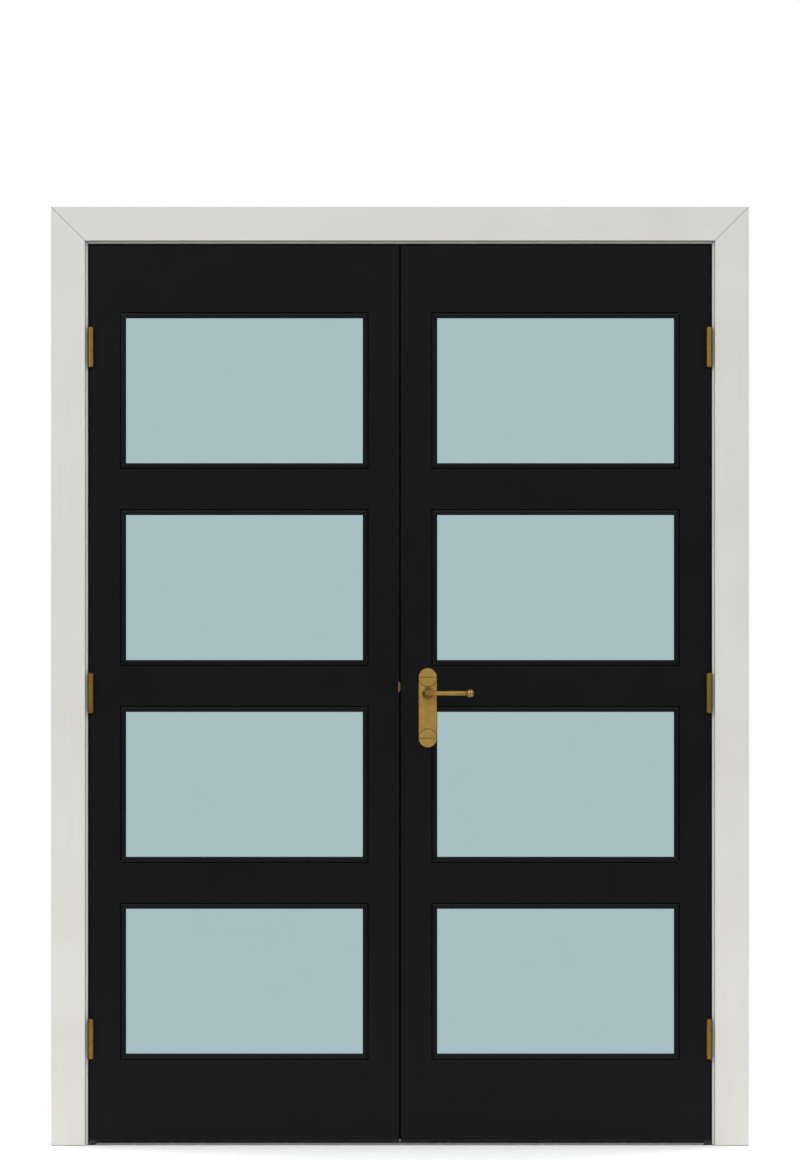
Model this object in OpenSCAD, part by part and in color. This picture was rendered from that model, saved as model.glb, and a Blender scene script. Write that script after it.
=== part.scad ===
// A pair of glazed timber french doors in their lining, with stops, architraves and threshold.
// X runs across the opening, Y from the hinge face to the stop side, Z up from the floor.
// The origin is on the floor, at the middle of the opening and of the lining's depth.

/* [Leaves] */
// Width of one leaf
leaf_w = 686; // [500:1:900]
// Height of one leaf
leaf_h = 1981; // [1500:1:2500]
// Thickness of one leaf
leaf_t = 35; // [28:1:45]
// Width of each stile
stile_w = 68; // [60:1:120]
// Height of the top rail
top_rail_h = 148; // [90:1:220]
// Height of the bottom rail
bottom_rail_h = 179; // [100:1:260]
// Height of each middle rail
mid_rail_h = 89; // [74:1:130]
// Length of the stub tenons
tenon_l = 30; // [15:1:40]
// Thickness of the stub tenons
tenon_t = 12; // [8:1:14]
// Shoulder above and below each tenon
tenon_shoulder = 15; // [8:1:25]

/* [Gaps] */
// Gap between a leaf's hinge edge and the lining
side_gap = 3; // [2.5:0.5:5]
// Gap between the two meeting edges
meeting_gap = 3; // [3:0.5:5]
// Gap above the leaves
top_gap = 4; // [2:0.5:6]
// Height of the leaves' feet above the floor
floor_gap = 10; // [9:0.5:20]
// Gap between a closed leaf and the stops
stop_gap = 1; // [0.5:0.5:3]

/* [Frame] */
// Thickness of the lining
lining_t = 32; // [25:1:40]
// Depth of the lining, front to rear
lining_d = 132; // [110:1:200]
// Depth that the lining's legs are housed into its head
trench = 10; // [6:1:16]
// How far the stops stand out from the lining
stop_w = 18; // [12:1:25]
// Depth of the stops, front to rear
stop_d = 32; // [20:1:45]
// Face width of the architraves
architrave_w = 75; // [50:1:120]
// Thickness of the architraves
architrave_t = 18; // [12:1:24]
// Lining edge left showing inside the architraves
reveal = 6; // [3:1:10]
// Radius of the fixing holes through the lining's legs
fixing_r = 4; // [3:0.5:5]
// Distance between the two inner fixing holes of a leg
inner_fixings = 600; // [400:10:800]
// Distance between the two outer fixing holes of a leg
outer_fixings = 1700; // [1200:10:1760]
// Height of the threshold strip
threshold_h = 8; // [5:0.5:8.5]
// Depth of the threshold strip, front to rear
threshold_d = 124; // [90:1:190]
// Bevel along both edges of the threshold strip
threshold_bevel = 4; // [2:0.5:4.5]

/* [Glazing] */
// Thickness of the glass
glass_t = 6; // [4:1:8]
// Gap between the edge of a pane and the wood
glass_gap = 2; // [1:0.5:4]
// Width of the beads
bead_w = 13; // [10:1:20]
// How far the beads lie below the faces of the leaf
bead_setback = 2; // [1:0.5:4]
// Chamfer along the sight edge of the beads
bead_chamfer = 3; // [1:0.5:5]

/* [Hinges] */
// Height of a hinge over its pin's buttons
hinge_h = 90; // [70:1:110]
// Distance from the leaf's foot or top to the nearest hinge
hinge_inset = 180; // [120:1:260]
// Width of a hinge leaf on the edge of the door
hinge_leaf_w = 24; // [20:1:27]
// Thickness of a hinge leaf
hinge_leaf_t = 2; // [1.5:0.25:2]
// Radius of the hinge barrel
barrel_r = 6.5; // [6:0.25:8]
// Radius of the hinge pin
pin_r = 3; // [2:0.25:3.5]
// Height of the button at each end of a hinge pin
button_h = 2; // [1:0.5:4]
// Gap between the hinge barrel and the leaf's face
barrel_gap = 1; // [0.5:0.25:2.5]
// Distance between the screws of a hinge leaf
hinge_screw_step = 28; // [20:1:32]

/* [Lever and backplates] */
// Distance from the meeting edge to the spindle
backset = 60; // [50:1:62]
// Depth of the spindle below the centre line of the middle rail
spindle_drop = 15.5; // [14:0.5:17]
// Side of the square spindle
spindle_w = 8; // [7:0.5:8]
// Width of a backplate
backplate_w = 40; // [32:1:46]
// Height of a backplate
backplate_h = 175; // [150:1:220]
// Thickness of a backplate
backplate_t = 3; // [2:0.5:4]
// Height of the round bosses at a backplate's ends
boss_rise = 1; // [0.5:0.5:2]
// Depth of a backplate's centre below the spindle
backplate_drop = 32.5; // [28:0.5:40]
// Radius of the lever's rose
rose_r = 12.5; // [11:0.5:14]
// Thickness of the lever's rose
rose_t = 10; // [6:1:14]
// Radius of the lever's neck
neck_r = 6.5; // [6:0.5:8]
// Radius of the lever's bar
bar_r = 5.5; // [4:0.5:6]
// Distance from the face of the leaf to the centre of the bar
lever_stand_off = 48; // [40:1:60]
// Distance from the spindle to the tip of the lever
lever_reach = 103; // [90:1:130]
// Length of the ring before the knob
ring_l = 3; // [2:0.5:6]
// Radius of the ring before the knob
ring_r = 6; // [5:0.25:7]
// Radius of the knob at the lever's tip
knob_r = 9.25; // [8:0.25:11]
// Length of the knob at the lever's tip
knob_l = 16; // [13:0.5:16]

/* [Latch] */
// Travel of the latch bolt
latch_travel = 10.5; // [8:0.5:11]
// Thickness of the latch bolt
latch_bolt_t = 11; // [8:0.5:11]
// Height of the latch bolt
latch_bolt_h = 16; // [12:1:16]
// Thickness of the latch case
case_t = 14; // [14:0.5:16]
// Height of the latch case
case_h = 50; // [48:1:52]
// Thickness of the latch case's sheet
case_wall = 1.2; // [0.8:0.1:1.2]
// Space in the case behind the spindle
case_behind = 14.5; // [12:0.5:16]
// Width of the latch faceplate
faceplate_w = 22; // [18:1:24]
// Height of the latch faceplate
faceplate_h = 80; // [76:1:110]
// Thickness of the latch faceplate
faceplate_t = 3; // [2:0.5:3]
// Height of the strike plate
strike_h = 60; // [50:1:90]
// Width of the strike plate
strike_w = 22; // [20:1:26]
// Thickness of the strike plate
strike_t = 2; // [1.5:0.5:3]
// Depth of the pocket behind the strike plate
strike_pocket = 14; // [12:1:20]
// Radius of the follower's hub
follower_r = 9; // [8:0.5:9]
// Wire radius of the latch spring
spring_wire_r = 0.5; // [0.4:0.05:0.7]
// Outer radius of the latch spring
spring_r = 4; // [3.5:0.25:4]

/* [Flush bolts] */
// Radius of the flush bolts
flush_bolt_r = 5; // [4:0.5:6]
// Length of the flush bolts
flush_bolt_l = 160; // [120:5:260]
// Distance from the meeting edge to a flush bolt's centre
flush_bolt_inset = 15; // [14.5:0.5:18]
// Travel of the top flush bolt
top_bolt_travel = 15; // [10:1:18]
// Travel of the bottom flush bolt
bottom_bolt_travel = 10; // [8:0.5:10]
// Width of a flush bolt's edge plate
edge_plate_w = 20; // [16:1:24]
// Height of a flush bolt's edge plate
edge_plate_h = 90; // [80:1:120]
// Thickness of a flush bolt's edge plate
edge_plate_t = 2.5; // [2:0.5:3]

/* [Fits] */
// Radial clearance of what turns or slides in a bore
running_clear = 0.05; // [0.02:0.01:0.1]
// Clearance around what is let into wood
let_in_clear = 0.2; // [0.1:0.05:0.3]
// Radial clearance around the screws
screw_clear = 0.1; // [0.05:0.05:0.2]
// Axial gap between the knuckles of a hinge
knuckle_gap = 0.25; // [0.2:0.05:0.4]
// Gap between faces that move past each other
sliding_gap = 0.3; // [0.2:0.05:0.5]
// Space that each mitred end of a bead is cut short by
mitre_gap = 0.05; // [0.02:0.01:0.2]

/* [Hidden] */
$fn = 64;

// Colours
pale_paint = "#D7D6D1";
black_paint = "#17181A";
pale_glass = "#A7C0C4";
brass = "#997C38";
grey_metal = "#6E6E6E";
steel = "#A9ABAD";

// How far a cutting shape passes the face that it cuts
over = 1;

// Opening and leaves
left = -1;
right = 1;
opening_w = 2 * leaf_w + meeting_gap + 2 * side_gap;
opening_h = floor_gap + leaf_h + top_gap;
jamb_x = opening_w / 2;
hinge_edge_x = jamb_x - side_gap;
meeting_edge_x = meeting_gap / 2;
leaf_front = -lining_d / 2;
leaf_back = leaf_front + leaf_t;
leaf_mid = leaf_front + leaf_t / 2;
leaf_foot = floor_gap;
leaf_top = leaf_foot + leaf_h;
leaf_centre = leaf_foot + leaf_h / 2;

// Frame: the fixing holes lie in the rear part of the lining, behind the stops
fixing_y = (leaf_back + stop_gap + stop_d + lining_d / 2) / 2;
architrave_in_x = jamb_x + reveal;
architrave_out_x = architrave_in_x + architrave_w;
architrave_in_z = opening_h + reveal;
architrave_out_z = architrave_in_z + architrave_w;

// Rails and lights, counted from the bottom
mid_rails = 3;
lights = mid_rails + 1;
light_h = (leaf_h - top_rail_h - bottom_rail_h - mid_rails * mid_rail_h) / lights;
light_w = leaf_w - 2 * stile_w;
light_x = meeting_edge_x + stile_w;
tenon_end_gap = 1;

function light_foot(i) = leaf_foot + bottom_rail_h + i * (light_h + mid_rail_h);
function mid_rail_foot(i) = light_foot(i) + light_h;

// [foot, height] of every rail of a leaf
rails = concat(
    [[leaf_foot, bottom_rail_h]],
    [for (i = [0:mid_rails - 1]) [mid_rail_foot(i), mid_rail_h]],
    [[leaf_top - top_rail_h, top_rail_h]]
);
middle_rail_centre = mid_rail_foot(1) + mid_rail_h / 2;

// Beads
bead_d = (leaf_t - glass_t) / 2 - bead_setback;

// Hinges
pin_stand_off = barrel_r + barrel_gap;
pin_x = jamb_x - barrel_r;
pin_y = leaf_front - pin_stand_off;
hinge_heights = [
    leaf_foot + hinge_inset + hinge_h / 2,
    leaf_centre,
    leaf_top - hinge_inset - hinge_h / 2,
];
knuckles = 5;
hinge_plate_h = hinge_h - 2 * button_h;
knuckle_h = (hinge_plate_h - (knuckles - 1) * knuckle_gap) / knuckles;
hinge_screw_y = leaf_front + hinge_leaf_w / 2;

// Screws
screw_r = 2;
screw_head_r = 3.8;
screw_head_h = 1.8;
screw_l = 29;
short_screw_l = 7;
screw_point_l = 3;
screw_point_r = 0.3;
screw_end_gap = 0.5;

// Lever and backplates
spindle_x = meeting_edge_x + backset;
spindle_z = middle_rail_centre - spindle_drop;
spindle_bore_r = 7;
spigot_r = 8;
socket_depth = rose_t + 4;
socket_w = spindle_w + 4 * running_clear;
backplate_z = spindle_z - backplate_drop;
boss_step = backplate_h / 2 - backplate_w / 2;
boss_heights = [backplate_z - boss_step, backplate_z + boss_step];
rear_face = backplate_t + boss_rise;
line_w = 1.6;
line_depth = 0.5;
pillar_r = 3.5;
pillar_l = 10;
pillar_bore = 8;
handle_bolt_r = 2;
handle_bolt_l = leaf_t + rear_face - pillar_l + pillar_bore - over;
grub_r = 2;
grub_l = 6;
bar_y = leaf_front - lever_stand_off;
rose_y = leaf_front - backplate_t - sliding_gap;
grub_y = rose_y - rose_t / 2;

// Latch
case_x = meeting_edge_x + faceplate_t;
case_end = spindle_x + case_behind;
lever_turn = 40;
arm_l = latch_travel / (2 * sin(lever_turn / 2));
arm_w = 3;
arm_t = 6;
arm_tip_r = 2;
arm_tip_x = spindle_x - latch_travel / 2;
arm_tip_z = spindle_z + arm_l * cos(lever_turn / 2);
latch_z = spindle_z + 13.5;
latch_tip_x = meeting_edge_x - latch_travel;
latch_rear_x = meeting_edge_x + latch_travel;
latch_tip_t = 2.5;
tail_h = 3.5;
tail_t = 5;
tail_foot = spindle_z + arm_l + arm_tip_r + sliding_gap;
lug_x = arm_tip_x + arm_tip_r + sliding_gap;
lug_w = 4;
lug_foot = arm_tip_z - 1;
spring_post_x = meeting_edge_x + 34.5;
spring_post_w = 2;
spring_z = latch_z - 3.5;
spring_turns = 7;
spring_steps = 16;
wire_sides = 8;
spring_end_gap = 0.05;
spring_x0 = latch_rear_x + spring_end_gap + spring_wire_r;
spring_l = spring_post_x - latch_rear_x - 2 * (spring_end_gap + spring_wire_r);
faceplate_screw_step = faceplate_h - 14;
strike_screw_step = strike_h - 16;
strike_lip_h = 22;
strike_hole_clear = 0.75;

// Flush bolts, measured from the end of the leaf
bolt_x = meeting_edge_x + flush_bolt_inset;
bolt_setback = 1;
bolt_hole_r = flush_bolt_r + 1;
thumb_w = 7;
thumb_h = 12;
thumb_setback = 0.5;
thumb_slot_clear = 0.5;
edge_plate_below = 25;
edge_screw_inset = 8;
edge_screw_step = edge_plate_h - 2 * edge_screw_inset;
// Lowest point of the top flush bolt, and the middle of its edge plate
bolt_foot = leaf_top - bolt_setback - flush_bolt_l;
edge_plate_z = bolt_foot - edge_plate_below + edge_plate_h / 2;
keep_w = 46;
keep_d = 22;
keep_t = 2;
keep_screw_step = 32;
keep_hole_depth = 18;

// ---- Places and shared shapes ----

// Everything is drawn on the right, and mirrored for the left
module on_side(side) {
    mirror([side == left ? 1 : 0, 0, 0]) children();
}

// Swaps the front and the rear of a leaf
module behind_leaf() {
    translate([0, 2 * leaf_mid, 0]) mirror([0, 1, 0]) children();
}

// Swaps the foot and the top of a leaf
module at_leaf_foot() {
    translate([0, 0, 2 * leaf_centre]) mirror([0, 0, 1]) children();
}

// A bar along X between two ends, centred on a point of the YZ plane
module block(x0, x1, y, z, depth, height) {
    translate([x0, y - depth / 2, z - height / 2]) cube([x1 - x0, depth, height]);
}

module cylinder_y(radius, y0, y1, x, z) {
    translate([x, y1, z]) rotate([90, 0, 0]) cylinder(r = radius, h = y1 - y0);
}

// A countersunk wood screw that points along +X, with its head flush at x = 0
module screw(length = screw_l) {
    rotate([0, 90, 0]) {
        cylinder(r1 = screw_head_r, r2 = screw_r, h = screw_head_h);
        cylinder(r = screw_r, h = length - screw_point_l);
        translate([0, 0, length - screw_point_l])
            cylinder(r1 = screw_r, r2 = screw_point_r, h = screw_point_l);
    }
}

// The hole for that screw
module screw_hole(length = screw_l) {
    rotate([0, 90, 0]) {
        translate([0, 0, -over]) cylinder(r = screw_head_r + screw_clear, h = over);
        cylinder(r1 = screw_head_r + screw_clear, r2 = screw_r + screw_clear, h = screw_head_h);
        cylinder(r = screw_r + screw_clear, h = length + screw_end_gap);
    }
}

module turn_inward() {
    rotate([0, 0, 180]) children();
}

module at_hinge_screws(x) {
    for (z = hinge_heights, step = [-1, 0, 1]) {
        translate([x, hinge_screw_y, z + step * hinge_screw_step]) children();
    }
}

module at_frame_hinge_screws() {
    at_hinge_screws(jamb_x - hinge_leaf_t) children();
}

module at_door_hinge_screws() {
    at_hinge_screws(hinge_edge_x) turn_inward() children();
}

module at_meeting_screws(z, step) {
    for (end = [-1, 1]) {
        translate([meeting_edge_x, leaf_mid, z + end * step / 2]) children();
    }
}

// ---- Frame ----

module jamb(side) {
    color(pale_paint) on_side(side) difference() {
        translate([jamb_x, -lining_d / 2, 0]) cube([lining_t, lining_d, opening_h + trench]);
        at_frame_hinge_screws() screw_hole();
        for (step = [inner_fixings, outer_fixings], end = [-1, 1]) {
            translate([jamb_x - over, fixing_y, leaf_centre + end * step / 2])
                rotate([0, 90, 0]) cylinder(r = fixing_r, h = lining_t + 2 * over);
        }
    }
}

module head_lining() {
    half = jamb_x + lining_t;
    color(pale_paint) difference() {
        translate([-half, -lining_d / 2, opening_h]) cube([2 * half, lining_d, lining_t]);
        for (side = [left, right]) on_side(side) {
            translate([jamb_x, -lining_d / 2 - over, opening_h - over])
                cube([lining_t + over, lining_d + 2 * over, trench + over]);
        }
        on_side(left) {
            keep_plate(let_in_clear, over);
            translate([bolt_x, leaf_mid, opening_h]) cylinder(r = bolt_hole_r, h = keep_hole_depth);
            at_keep_screws() screw_hole();
        }
    }
}

module side_stop(side) {
    color(pale_paint) on_side(side)
        translate([jamb_x - stop_w, leaf_back + stop_gap, 0]) cube([stop_w, stop_d, opening_h - stop_w]);
}

module head_stop() {
    color(pale_paint)
        translate([-jamb_x, leaf_back + stop_gap, opening_h - stop_w]) cube([opening_w, stop_d, stop_w]);
}

// A board of the architrave, from its outline in the XZ plane
module architrave_board(outline) {
    color(pale_paint) translate([0, -lining_d / 2, 0])
        rotate([90, 0, 0]) linear_extrude(architrave_t) polygon(outline);
}

module side_architrave(side) {
    on_side(side) architrave_board([
        [architrave_in_x, 0], [architrave_out_x, 0],
        [architrave_out_x, architrave_out_z], [architrave_in_x, architrave_in_z],
    ]);
}

module head_architrave() {
    architrave_board([
        [-architrave_in_x, architrave_in_z], [architrave_in_x, architrave_in_z],
        [architrave_out_x, architrave_out_z], [-architrave_out_x, architrave_out_z],
    ]);
}

module threshold_strip() {
    length = opening_w - 2 * stop_w;
    color(grey_metal) difference() {
        translate([-length / 2, 0, 0]) rotate([90, 0, 90]) linear_extrude(length) polygon([
            [-threshold_d / 2, 0], [threshold_d / 2, 0],
            [threshold_d / 2, threshold_h - threshold_bevel],
            [threshold_d / 2 - threshold_bevel, threshold_h],
            [-threshold_d / 2 + threshold_bevel, threshold_h],
            [-threshold_d / 2, threshold_h - threshold_bevel],
        ]);
        on_side(left) translate([bolt_x, leaf_mid, -over])
            cylinder(r = bolt_hole_r, h = threshold_h + 2 * over);
    }
}

// The keep's plate, flush with the underside of the head lining
module keep_plate(clear, below) {
    translate([bolt_x - keep_w / 2 - clear, leaf_mid - keep_d / 2 - clear, opening_h - below])
        cube([keep_w + 2 * clear, keep_d + 2 * clear, keep_t + below]);
}

module at_keep_screws() {
    for (end = [-1, 1]) {
        translate([bolt_x + end * keep_screw_step / 2, leaf_mid, opening_h])
            rotate([0, -90, 0]) children();
    }
}

module head_bolt_keep() {
    color(brass) on_side(left) difference() {
        keep_plate(0, 0);
        translate([bolt_x, leaf_mid, opening_h - over])
            cylinder(r = flush_bolt_r + 2 * sliding_gap, h = keep_t + 2 * over);
        at_keep_screws() screw_hole();
    }
}

// ---- Hinges ----

module at_knuckle(i) {
    translate([pin_x, pin_y, i * (knuckle_h + knuckle_gap) - hinge_plate_h / 2]) children();
}

// One leaf of a hinge: its plate's inner x, and which knuckles are its own
module hinge_leaf(plate_x, own, other) {
    difference() {
        union() {
            difference() {
                translate([plate_x, pin_y, -hinge_plate_h / 2])
                    cube([hinge_leaf_t, pin_stand_off + hinge_leaf_w, hinge_plate_h]);
                for (i = other) at_knuckle(i) translate([0, 0, -knuckle_gap])
                    cylinder(r = barrel_r + sliding_gap, h = knuckle_h + 2 * knuckle_gap);
            }
            for (i = own) at_knuckle(i) cylinder(r = barrel_r, h = knuckle_h);
        }
        translate([pin_x, pin_y, -hinge_h]) cylinder(r = pin_r + running_clear, h = 2 * hinge_h);
    }
}

module frame_hinge_leaves(side) {
    color(brass) on_side(side) difference() {
        for (z = hinge_heights) translate([0, 0, z])
            hinge_leaf(jamb_x - hinge_leaf_t, [0, 2, 4], [1, 3]);
        at_frame_hinge_screws() screw_hole();
    }
}

module door_hinge_leaves(side) {
    color(brass) on_side(side) difference() {
        for (z = hinge_heights) translate([0, 0, z])
            hinge_leaf(hinge_edge_x - hinge_leaf_t, [1, 3], [0, 2, 4]);
        at_door_hinge_screws() screw_hole();
    }
}

module hinge_pins() {
    color(brass) for (side = [left, right], z = hinge_heights) on_side(side)
        translate([pin_x, pin_y, z]) {
            cylinder(r = pin_r, h = hinge_plate_h, center = true);
            for (end = [0, 1]) mirror([0, 0, end]) translate([0, 0, hinge_plate_h / 2]) {
                cylinder(r = barrel_r - 1, h = button_h / 2);
                translate([0, 0, button_h / 2])
                    cylinder(r1 = barrel_r - 1, r2 = barrel_r - 3, h = button_h / 2);
            }
        }
}

module frame_screws() {
    color(brass) {
        for (side = [left, right]) on_side(side) at_frame_hinge_screws() screw();
        on_side(left) at_keep_screws() screw();
    }
}

// ---- Leaves ----

// A rail's tenon at each end, with the clearance that its mortice adds
module tenons(rail, clear, end_gap) {
    for (x = [light_x - tenon_l - end_gap, light_x + light_w - over])
        translate([x, leaf_mid - tenon_t / 2 - clear, rail[0] + tenon_shoulder - clear])
            cube([
                tenon_l + end_gap + over,
                tenon_t + 2 * clear,
                rail[1] - 2 * tenon_shoulder + 2 * clear
            ]);
}

module rail_blank(rail) {
    translate([light_x, leaf_front, rail[0]]) cube([light_w, leaf_t, rail[1]]);
    tenons(rail, 0, 0);
}

module stile_blank(x) {
    difference() {
        translate([x, leaf_front, leaf_foot]) cube([stile_w, leaf_t, leaf_h]);
        for (rail = rails) tenons(rail, let_in_clear, tenon_end_gap);
    }
}

module hinge_stile(side) {
    color(black_paint) on_side(side) difference() {
        stile_blank(hinge_edge_x - stile_w);
        for (z = hinge_heights) block(
            hinge_edge_x - hinge_leaf_t, hinge_edge_x + over,
            leaf_front, z,
            2 * (hinge_leaf_w + let_in_clear), hinge_plate_h + 2 * let_in_clear
        );
        at_door_hinge_screws() screw_hole();
    }
}

module left_meeting_stile() {
    color(black_paint) on_side(left) difference() {
        stile_blank(meeting_edge_x);
        strike_recess();
        flush_bolt_recess(top_bolt_travel);
        at_leaf_foot() flush_bolt_recess(bottom_bolt_travel);
        at_strike_screws() screw_hole();
        at_edge_plate_screws() screw_hole(short_screw_l);
    }
}

module right_meeting_stile() {
    color(black_paint) difference() {
        stile_blank(meeting_edge_x);
        latch_recess();
    }
}

module end_rail(side, rail) {
    color(black_paint) on_side(side) rail_blank(rail);
}

module left_mid_rails() {
    color(black_paint) on_side(left) for (i = [1:mid_rails]) rail_blank(rails[i]);
}

module right_mid_rails() {
    color(black_paint) difference() {
        for (i = [1:mid_rails]) rail_blank(rails[i]);
        latch_recess();
    }
}

module pane(side, i) {
    color(pale_glass, 0.5) on_side(side)
        translate([light_x + glass_gap, leaf_mid - glass_t / 2, light_foot(i) + glass_gap])
            cube([light_w - 2 * glass_gap, glass_t, light_h - 2 * glass_gap]);
}

// A length of bead with mitred ends, its long edge on the X axis and its back against the glass
module bead(length) {
    translate([0, bead_d, 0]) difference() {
        rotate([90, 0, 0]) linear_extrude(bead_d)
            polygon([
                [mitre_gap, 0], [length - mitre_gap, 0],
                [length - mitre_gap - bead_w, bead_w], [mitre_gap + bead_w, bead_w],
            ]);
        translate([0, -bead_d, bead_w]) rotate([90, 0, 90]) linear_extrude(length) polygon([
            [-over, -bead_chamfer - over], [bead_chamfer + over, over], [-over, over],
        ]);
    }
}

module beads(side) {
    color(black_paint) on_side(side) for (i = [0:lights - 1], turn = [0, 90, 180, 270]) {
        length = turn % 180 == 0 ? light_w : light_h;
        across = turn % 180 == 0 ? light_h : light_w;
        // two short moves, because the export rounds a move to six digits
        translate([light_x, leaf_front + bead_setback, light_foot(i)])
            translate([light_w / 2, 0, light_h / 2])
            rotate([0, turn, 0]) translate([-length / 2, 0, -across / 2]) bead(length);
    }
}

module left_door_screws() {
    color(brass) on_side(left) {
        at_door_hinge_screws() screw();
        at_strike_screws() screw();
        at_edge_plate_screws() screw(short_screw_l);
    }
}

module right_door_screws() {
    color(brass) {
        at_door_hinge_screws() screw();
        at_faceplate_screws() screw();
    }
}

// ---- Strike plate and flush bolts of the left leaf ----

// The strike plate, with its lip to the front face of the leaf, or with clearances its recess
module strike_outline(clear, outside) {
    lip_end = leaf_mid - strike_w / 2 + over;
    block(
        meeting_edge_x - outside, meeting_edge_x + strike_t,
        leaf_mid, latch_z, strike_w + 2 * clear, strike_h + 2 * clear
    );
    block(
        meeting_edge_x - outside, meeting_edge_x + strike_t,
        (leaf_front - outside + lip_end) / 2, latch_z,
        lip_end - leaf_front + outside, strike_lip_h + 2 * clear
    );
}

module strike_hole(depth, grow) {
    block(
        meeting_edge_x - over, meeting_edge_x + depth, leaf_mid, latch_z,
        latch_bolt_t + 2 * (strike_hole_clear + grow), latch_bolt_h + 2 * (strike_hole_clear + grow)
    );
}

module strike_recess() {
    strike_outline(let_in_clear, over);
    strike_hole(strike_pocket, 1);
}

module strike_plate() {
    color(brass) on_side(left) difference() {
        strike_outline(0, 0);
        strike_hole(strike_t + over, 0);
        at_strike_screws() screw_hole();
    }
}

module at_strike_screws() {
    at_meeting_screws(latch_z, strike_screw_step) children();
}

// The edge plates have short screws, which stop in front of the bolts
module at_edge_plate_screws() {
    at_meeting_screws(edge_plate_z, edge_screw_step) children();
    at_leaf_foot() at_meeting_screws(edge_plate_z, edge_screw_step) children();
}

module edge_plate_outline(clear, outside) {
    block(
        meeting_edge_x - outside, meeting_edge_x + edge_plate_t,
        leaf_mid, edge_plate_z, edge_plate_w + 2 * clear, edge_plate_h + 2 * clear
    );
}

// The slot that the thumb piece slides in, as far in as the bolt
module thumb_slot(travel) {
    translate([
        meeting_edge_x - over,
        leaf_mid - thumb_w / 2 - thumb_slot_clear,
        bolt_foot - thumb_slot_clear
    ]) cube([
        flush_bolt_inset + over,
        thumb_w + 2 * thumb_slot_clear,
        thumb_h + travel + 2 * thumb_slot_clear
    ]);
}

module flush_bolt_recess(travel) {
    edge_plate_outline(let_in_clear, over);
    thumb_slot(travel);
    translate([bolt_x, leaf_mid, bolt_foot - over])
        cylinder(r = flush_bolt_r + running_clear, h = flush_bolt_l + bolt_setback + 2 * over);
}

module edge_plate(travel) {
    difference() {
        edge_plate_outline(0, 0);
        thumb_slot(travel);
        at_edge_plate_screws() screw_hole(short_screw_l);
    }
}

module flush_bolt_plates() {
    color(brass) on_side(left) {
        edge_plate(top_bolt_travel);
        at_leaf_foot() edge_plate(bottom_bolt_travel);
    }
}

module flush_bolt() {
    translate([bolt_x, leaf_mid, bolt_foot]) cylinder(r = flush_bolt_r, h = flush_bolt_l);
    translate([meeting_edge_x + thumb_setback, leaf_mid - thumb_w / 2, bolt_foot])
        cube([flush_bolt_inset - thumb_setback, thumb_w, thumb_h]);
}

module top_flush_bolt() {
    color(brass) on_side(left) flush_bolt();
}

module bottom_flush_bolt() {
    color(brass) on_side(left) at_leaf_foot() flush_bolt();
}

// ---- Latch of the right leaf ----

module at_faceplate_screws() {
    at_meeting_screws(spindle_z, faceplate_screw_step) children();
}

// What is cut from the meeting stile and the middle rail for the latch and the backplates
module latch_recess() {
    block(
        meeting_edge_x - over, meeting_edge_x + faceplate_t,
        leaf_mid, spindle_z, faceplate_w + 2 * let_in_clear, faceplate_h + 2 * let_in_clear
    );
    block(
        meeting_edge_x, case_end + let_in_clear,
        leaf_mid, spindle_z, case_t + 2 * let_in_clear, case_h + 2 * let_in_clear
    );
    cylinder_y(spindle_bore_r, leaf_front - over, leaf_back + over, spindle_x, spindle_z);
    for (z = boss_heights) {
        cylinder_y(handle_bolt_r + screw_clear, leaf_front - over, leaf_back + over, spindle_x, z);
        cylinder_y(pillar_r + screw_clear, leaf_front - over, leaf_front + pillar_l + over, spindle_x, z);
    }
    at_faceplate_screws() screw_hole();
}

module latch_faceplate() {
    color(brass) difference() {
        block(
            meeting_edge_x, meeting_edge_x + faceplate_t,
            leaf_mid, spindle_z, faceplate_w, faceplate_h
        );
        block(
            meeting_edge_x - over, meeting_edge_x + faceplate_t + over, leaf_mid, latch_z,
            latch_bolt_t + 2 * let_in_clear, latch_bolt_h + 2 * let_in_clear
        );
        at_faceplate_screws() screw_hole();
    }
}

module latch_case() {
    color(steel) {
        difference() {
            block(case_x, case_end, leaf_mid, spindle_z, case_t, case_h);
            block(
                case_x - over, case_end - case_wall,
                leaf_mid, spindle_z, case_t - 2 * case_wall, case_h - 2 * case_wall
            );
            cylinder_y(
                follower_r + running_clear, leaf_front, leaf_back, spindle_x, spindle_z
            );
        }
        // The post that the latch spring pushes on
        post_foot = spring_z - spring_r - 2;
        post_h = tail_foot - sliding_gap - post_foot;
        block(
            spring_post_x, spring_post_x + spring_post_w,
            leaf_mid, post_foot + post_h / 2, case_t - case_wall, post_h
        );
    }
}

module latch_bolt() {
    color(brass) {
        // The head, bevelled on the side that meets the strike plate as the leaf closes
        translate([0, leaf_mid, latch_z - latch_bolt_h / 2]) linear_extrude(latch_bolt_h) polygon([
            [latch_tip_x, -latch_bolt_t / 2], [latch_rear_x, -latch_bolt_t / 2],
            [latch_rear_x, latch_bolt_t / 2], [meeting_edge_x, latch_bolt_t / 2],
            [latch_tip_x, latch_tip_t - latch_bolt_t / 2],
        ]);
        // The tail that runs back over the follower, and the lug that the arm pulls
        translate([latch_rear_x - over, leaf_mid - tail_t / 2, tail_foot])
            cube([lug_x + lug_w - latch_rear_x + over, tail_t, tail_h]);
        translate([lug_x, leaf_mid - tail_t / 2, lug_foot])
            cube([lug_w, tail_t, tail_foot - lug_foot + over]);
    }
}

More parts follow.
